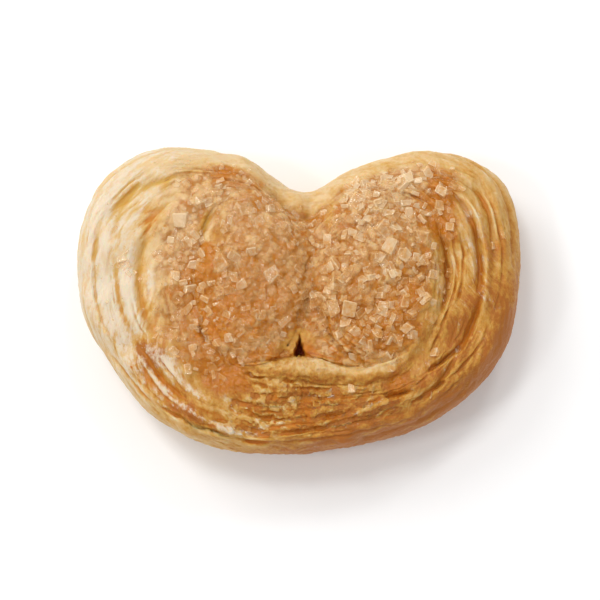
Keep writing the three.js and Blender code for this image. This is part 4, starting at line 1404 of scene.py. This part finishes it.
@dataclass(frozen=True)
class Scatter:
    """Small pieces strewn over the pastry by a geometry tree and made one plain mesh. Lengths are in mm."""

    name: str
    mask: str
    spacing: float
    density: float
    smallest: float
    largest: float
    flatness: float
    lean: float
    sink: float
    seed: int
    graded: bool = False
    follow: bool = False
    small_bias: float = 1.6
    followed_spin: float = 0.35

    def random(self, kit: NodeKit, low: object, high: object, shift: int) -> Socket:
        """A random number or vector for each piece, another for each shift of the seed."""
        kind = "FLOAT_VECTOR" if isinstance(low, tuple) else "FLOAT"
        inputs = {"Min": low, "Max": high, "Seed": self.seed + shift}
        return kit.out(kit.add("FunctionNodeRandomValue", inputs, data_type=kind))

    def tree(self, shapes: bpy.types.Collection, finish: bpy.types.Material) -> bpy.types.NodeTree:
        """The tree: points over the faces where the mask is high, a shape on each, all realized.

        Args:
            shapes: the collection of shapes to pick from.
            finish: the material of the new pieces.

        Returns:
            The tree, for a modifier on the piece that they lie on.
        """
        tree = bpy.data.node_groups.new(self.name, "GeometryNodeTree")
        kit = NodeKit(tree)
        for way in ("INPUT", "OUTPUT"):
            tree.interface.new_socket("Geometry", in_out=way, socket_type="NodeSocketGeometry")
        named = "GeometryNodeInputNamedAttribute"
        points = kit.add("GeometryNodeDistributePointsOnFaces", {
            "Mesh": kit.add("NodeGroupInput").outputs[0], "Distance Min": self.spacing * MM,
            "Density Max": self.density / MM**2, "Seed": self.seed,
            "Density Factor": kit.out(kit.add(named, {"Name": self.mask}, data_type="FLOAT")),
        }, distribute_method="POISSON")
        biased = kit.math("POWER", self.random(kit, 0.0, 1.0, 0), self.small_bias)
        size = kit.total(self.smallest * MM, (biased, (self.largest - self.smallest) * MM))
        if self.graded:
            coarseness = kit.out(kit.add(named, {"Name": "coarseness"}, data_type="FLOAT"))
            size = kit.math("MULTIPLY", size, coarseness)
        stretch = self.random(kit, (0.7, 0.5, 0.6), (1.25, 1.0, 1.25), 1)
        sides = {0: stretch, 1: (1.0, 1.0, self.flatness)}
        scale = kit.add("ShaderNodeVectorMath", sides, operation="MULTIPLY").outputs[0]
        scale = kit.add("ShaderNodeVectorMath", {0: scale, "Scale": size}, operation="SCALE").outputs[0]
        spin = self.followed_spin if self.follow else math.pi
        lean = (self.lean, self.lean, spin)
        angles = self.random(kit, tuple(-angle for angle in lean), lean, 2)
        own = kit.add("FunctionNodeEulerToRotation", {"Euler": angles}).outputs[0]
        facing = self.followed(kit, points) if self.follow else points.outputs["Rotation"]
        turned = kit.add("FunctionNodeRotateRotation", {
            "Rotation": facing, "Rotate By": own,
        }, rotation_space="LOCAL")
        picked = kit.add("GeometryNodeCollectionInfo", {
            "Collection": shapes, "Separate Children": True, "Reset Children": True,
        })
        placed = kit.add("GeometryNodeInstanceOnPoints", {
            "Points": points.outputs["Points"], "Instance": picked.outputs[0], "Pick Instance": True,
            "Rotation": turned.outputs[0], "Scale": scale,
        })
        down = kit.add("ShaderNodeCombineXYZ", {"Z": kit.math("MULTIPLY", size, -self.sink)}).outputs[0]
        made = kit.add("GeometryNodeTranslateInstances", {
            "Instances": placed.outputs[0], "Translation": down,
        })
        tone = self.random(kit, 0.0, 1.0, 3)
        kept = [("tone", tone)] + [("pale", kit.math("MULTIPLY", tone, 0.2))] * self.follow
        for name, value in kept:
            made = kit.add("GeometryNodeStoreNamedAttribute", {
                "Geometry": made.outputs[0], "Name": name, "Value": value,
            }, data_type="FLOAT", domain="INSTANCE")
        whole = kit.add("GeometryNodeRealizeInstances", {"Geometry": made.outputs[0]}).outputs[0]
        dressed = kit.add("GeometryNodeSetMaterial", {"Geometry": whole, "Material": finish})
        kit.add("NodeGroupOutput", {"Geometry": dressed.outputs[0]})
        return tree

    @staticmethod
    def followed(kit: NodeKit, points: bpy.types.Node) -> Socket:
        """A rotation whose X runs round the eye, along the layers."""
        place = kit.add("GeometryNodeInputPosition").outputs[0]
        eye = (SHAPE.eye[0] * MM, SHAPE.eye[1] * MM, 0.0)
        outward = kit.add("ShaderNodeVectorMath", {0: place, 1: eye}, operation="SUBTRACT").outputs[0]
        onward = kit.add("ShaderNodeVectorMath", {0: (0.0, 0.0, 1.0), 1: outward}, operation="CROSS_PRODUCT")
        return kit.add("FunctionNodeAlignRotationToVector", {
            "Rotation": points.outputs["Rotation"], "Vector": onward.outputs[0],
        }, axis="X", pivot_axis="Z").outputs[0]

    def build(
        self, pastry: bpy.types.Object, shapes: list[bpy.types.Object], finish: bpy.types.Material
    ) -> bpy.types.Object:
        """The strewn pieces as one mesh.

        Args:
            pastry: the piece that they lie on, which has the mask.
            shapes: the shapes to strew, one unit in half size; they are removed.
            finish: the material.

        Returns:
            The new piece.
        """
        collection = bpy.data.collections.new(self.name + "_shapes")
        bpy.context.scene.collection.children.link(collection)
        for shape in shapes:
            bpy.context.scene.collection.objects.unlink(shape)
            collection.objects.link(shape)
        modifier = pastry.modifiers.new(self.name, "NODES")
        modifier.node_group = self.tree(collection, finish)
        bpy.context.view_layer.update()
        evaluated = pastry.evaluated_get(bpy.context.evaluated_depsgraph_get())
        mesh = bpy.data.meshes.new_from_object(evaluated)
        mesh.name = self.name
        mesh.shade_flat()
        piece = put(self.name, mesh)
        pastry.modifiers.remove(modifier)
        for shape in shapes:
            bpy.data.objects.remove(shape)
        bpy.data.collections.remove(collection)
        return piece


def crystal_shapes(count: int, bevel: float) -> list[bpy.types.Object]:
    """Crystals of unit half size, to be strewn.

    Args:
        count: how many shapes.
        bevel: the width of their worn edges, or 0 for sharp ones.

    Returns:
        The shapes, as objects one unit in half size.
    """
    shapes = []
    for number in range(count):
        block = crystal_mesh((1.0, 1.0, 1.0), 0.5, 100 + number, bevel)
        mesh = bpy.data.meshes.new(f"crystal_{number}")
        block.to_mesh(mesh)
        block.free()
        shapes.append(put(mesh.name, mesh))
    return shapes


def flake_shapes(count: int) -> list[bpy.types.Object]:
    """Thin curled scraps of pastry with ragged edges, to be strewn."""
    shapes = []
    columns, rows = 7, 3
    for number in range(count):
        draw = np.random.default_rng(500 + number)
        upper = []
        for i in range(columns):
            for j in range(rows):
                run = 2 * i / (columns - 1) - 1
                across = (2 * j / (rows - 1) - 1) * 0.42 * (1 - 0.5 * run * run) * draw.uniform(0.5, 1.3)
                height = 0.12 * run * run + 0.3 * across + 0.08
                upper.append((run + draw.uniform(-0.12, 0.12), across, height))
        lower = [(x, y, z - 0.05) for x, y, z in upper]
        faces = []
        for i in range(columns - 1):
            for j in range(rows - 1):
                a = i * rows + j
                b, c, d = a + rows, a + rows + 1, a + 1
                faces.append((a, b, c, d))
                faces.append(tuple(k + len(upper) for k in (d, c, b, a)))
        edge = [i * rows for i in range(columns)]
        edge += [(columns - 1) * rows + j for j in range(1, rows)]
        edge += [i * rows + rows - 1 for i in range(columns - 2, -1, -1)]
        edge += list(range(rows - 2, 0, -1))
        for a, b in zip(edge, edge[1:] + edge[:1]):
            faces.append((a, a + len(upper), b + len(upper), b))
        shape = new_mesh_object(f"flake_{number}", np.array(upper + lower) / MM, faces, False)
        shapes.append(shape)
    return shapes


@dataclass(frozen=True)
class Light:
    """A soft square light that faces the pastry: where it is in metres, its size and its power."""

    name: str
    place: tuple[float, float, float]
    size: float
    power: float

    def build(self) -> None:
        """Puts the light in the scene."""
        data = bpy.data.lights.new(self.name, "AREA")
        data.size = self.size
        data.energy = self.power
        lamp = put(self.name, data)
        lamp.location = self.place
        lamp.rotation_euler = (-Vector(self.place)).to_track_quat("-Z", "Y").to_euler()


@dataclass(frozen=True)
class Studio:
    """The pale floor, the soft light and the camera that looks down at the pastry."""

    floor_half: float = 1.5
    picture_width: float = 0.0742
    camera_distance: float = 0.26
    camera_elevation: float = 83.0
    sensor_width: float = 36.0
    target: tuple[float, float, float] = (0.00012, -0.00006, 0.007)
    sky: float = 0.62
    lights: tuple[Light, ...] = (
        Light("key_light", (-0.42, 0.38, 0.52), 0.30, 1.50),
        Light("glint_light", (-0.16, 0.22, 0.62), 0.13, 0.95),
        Light("back_glint_light", (0.14, 0.40, 0.52), 0.10, 0.50),
        Light("side_glint_light", (-0.36, -0.06, 0.55), 0.10, 0.55),
        Light("fill_light", (0.5, -0.1, 0.5), 0.5, 0.12),
    )

    def build(self) -> None:
        """Makes the floor, world, lights and camera."""
        half = self.floor_half / MM
        corners = np.array([[-half, -half, 0], [half, -half, 0], [half, half, 0], [-half, half, 0]])
        floor = new_mesh_object("floor", corners, [(0, 1, 2, 3)], False)
        floor.data.materials.append(FloorFinish().build())
        world = bpy.data.worlds.new("studio")
        world.use_nodes = True
        world.node_tree.nodes["Background"].inputs["Color"].default_value = (1.0, 1.0, 1.0, 1.0)
        world.node_tree.nodes["Background"].inputs["Strength"].default_value = self.sky
        bpy.context.scene.world = world
        for light in self.lights:
            light.build()
        data = bpy.data.cameras.new("camera")
        data.sensor_width = self.sensor_width
        data.lens = data.sensor_width * self.camera_distance / self.picture_width
        data.clip_start = 0.01
        data.clip_end = 10.0
        camera = put("camera", data)
        elevation = math.radians(self.camera_elevation)
        sight = Vector((0, -math.cos(elevation), math.sin(elevation)))
        camera.location = Vector(self.target) + sight * self.camera_distance
        camera.rotation_euler = (math.radians(90 - self.camera_elevation), 0, 0)
        bpy.context.scene.camera = camera
        bpy.context.scene.view_settings.view_transform = "Standard"


def seat(piece: bpy.types.Object, slot: str, *replaced: str) -> None:
    """Makes a finished piece part of the object.

    Args:
        piece: the piece, in place.
        slot: not used.
        replaced: the solids that it stands for.
    """
    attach(piece, BODY)
    if replaced:
        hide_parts(*replaced)
    triangles = sum(len(face.vertices) - 2 for face in piece.data.polygons)
    log.info("%s: %d triangles", piece.name, triangles)


def main() -> None:
    """Builds the studio, the pastry and all that lies on it, and reports each piece."""
    logging.basicConfig(level=logging.INFO, format="%(message)s")
    Studio().build()
    pastry = Pastry().build()
    sugar = SugarFinish().build()
    pieces = [LargeSugar().build(pastry, sugar)]
    for scatter, shapes, worn in (
        (Scatter("sugar_coarse", "loose", 0.72, 3.2, 0.30, 0.68, 0.5, 0.42, 0.34, 3, graded=True), 8, 0.20),
        (Scatter("sugar_small", "loose", 0.60, 0.5, 0.16, 0.36, 0.6, 0.8, 0.35, 4), 6, 0.0),
        (Scatter("sugar_fine", "sprinkle", 0.34, 2.0, 0.06, 0.15, 0.8, 0.9, 0.0, 5), 4, 0.0),
    ):
        pieces.append(scatter.build(pastry, crystal_shapes(shapes, worn), sugar))
    flakes = Scatter("pastry_flakes", "flaky", 0.60, 1.2, 0.18, 0.45, 0.8, 0.3, 0.0, 9, follow=True)
    flakes = flakes.build(pastry, flake_shapes(4), pastry.data.materials[0])
    seat(pastry, "pastry", NODE)
    for piece in pieces:
        seat(piece, "sugar")
    seat(flakes, "pastry")


if __name__ == "__main__":
    main()
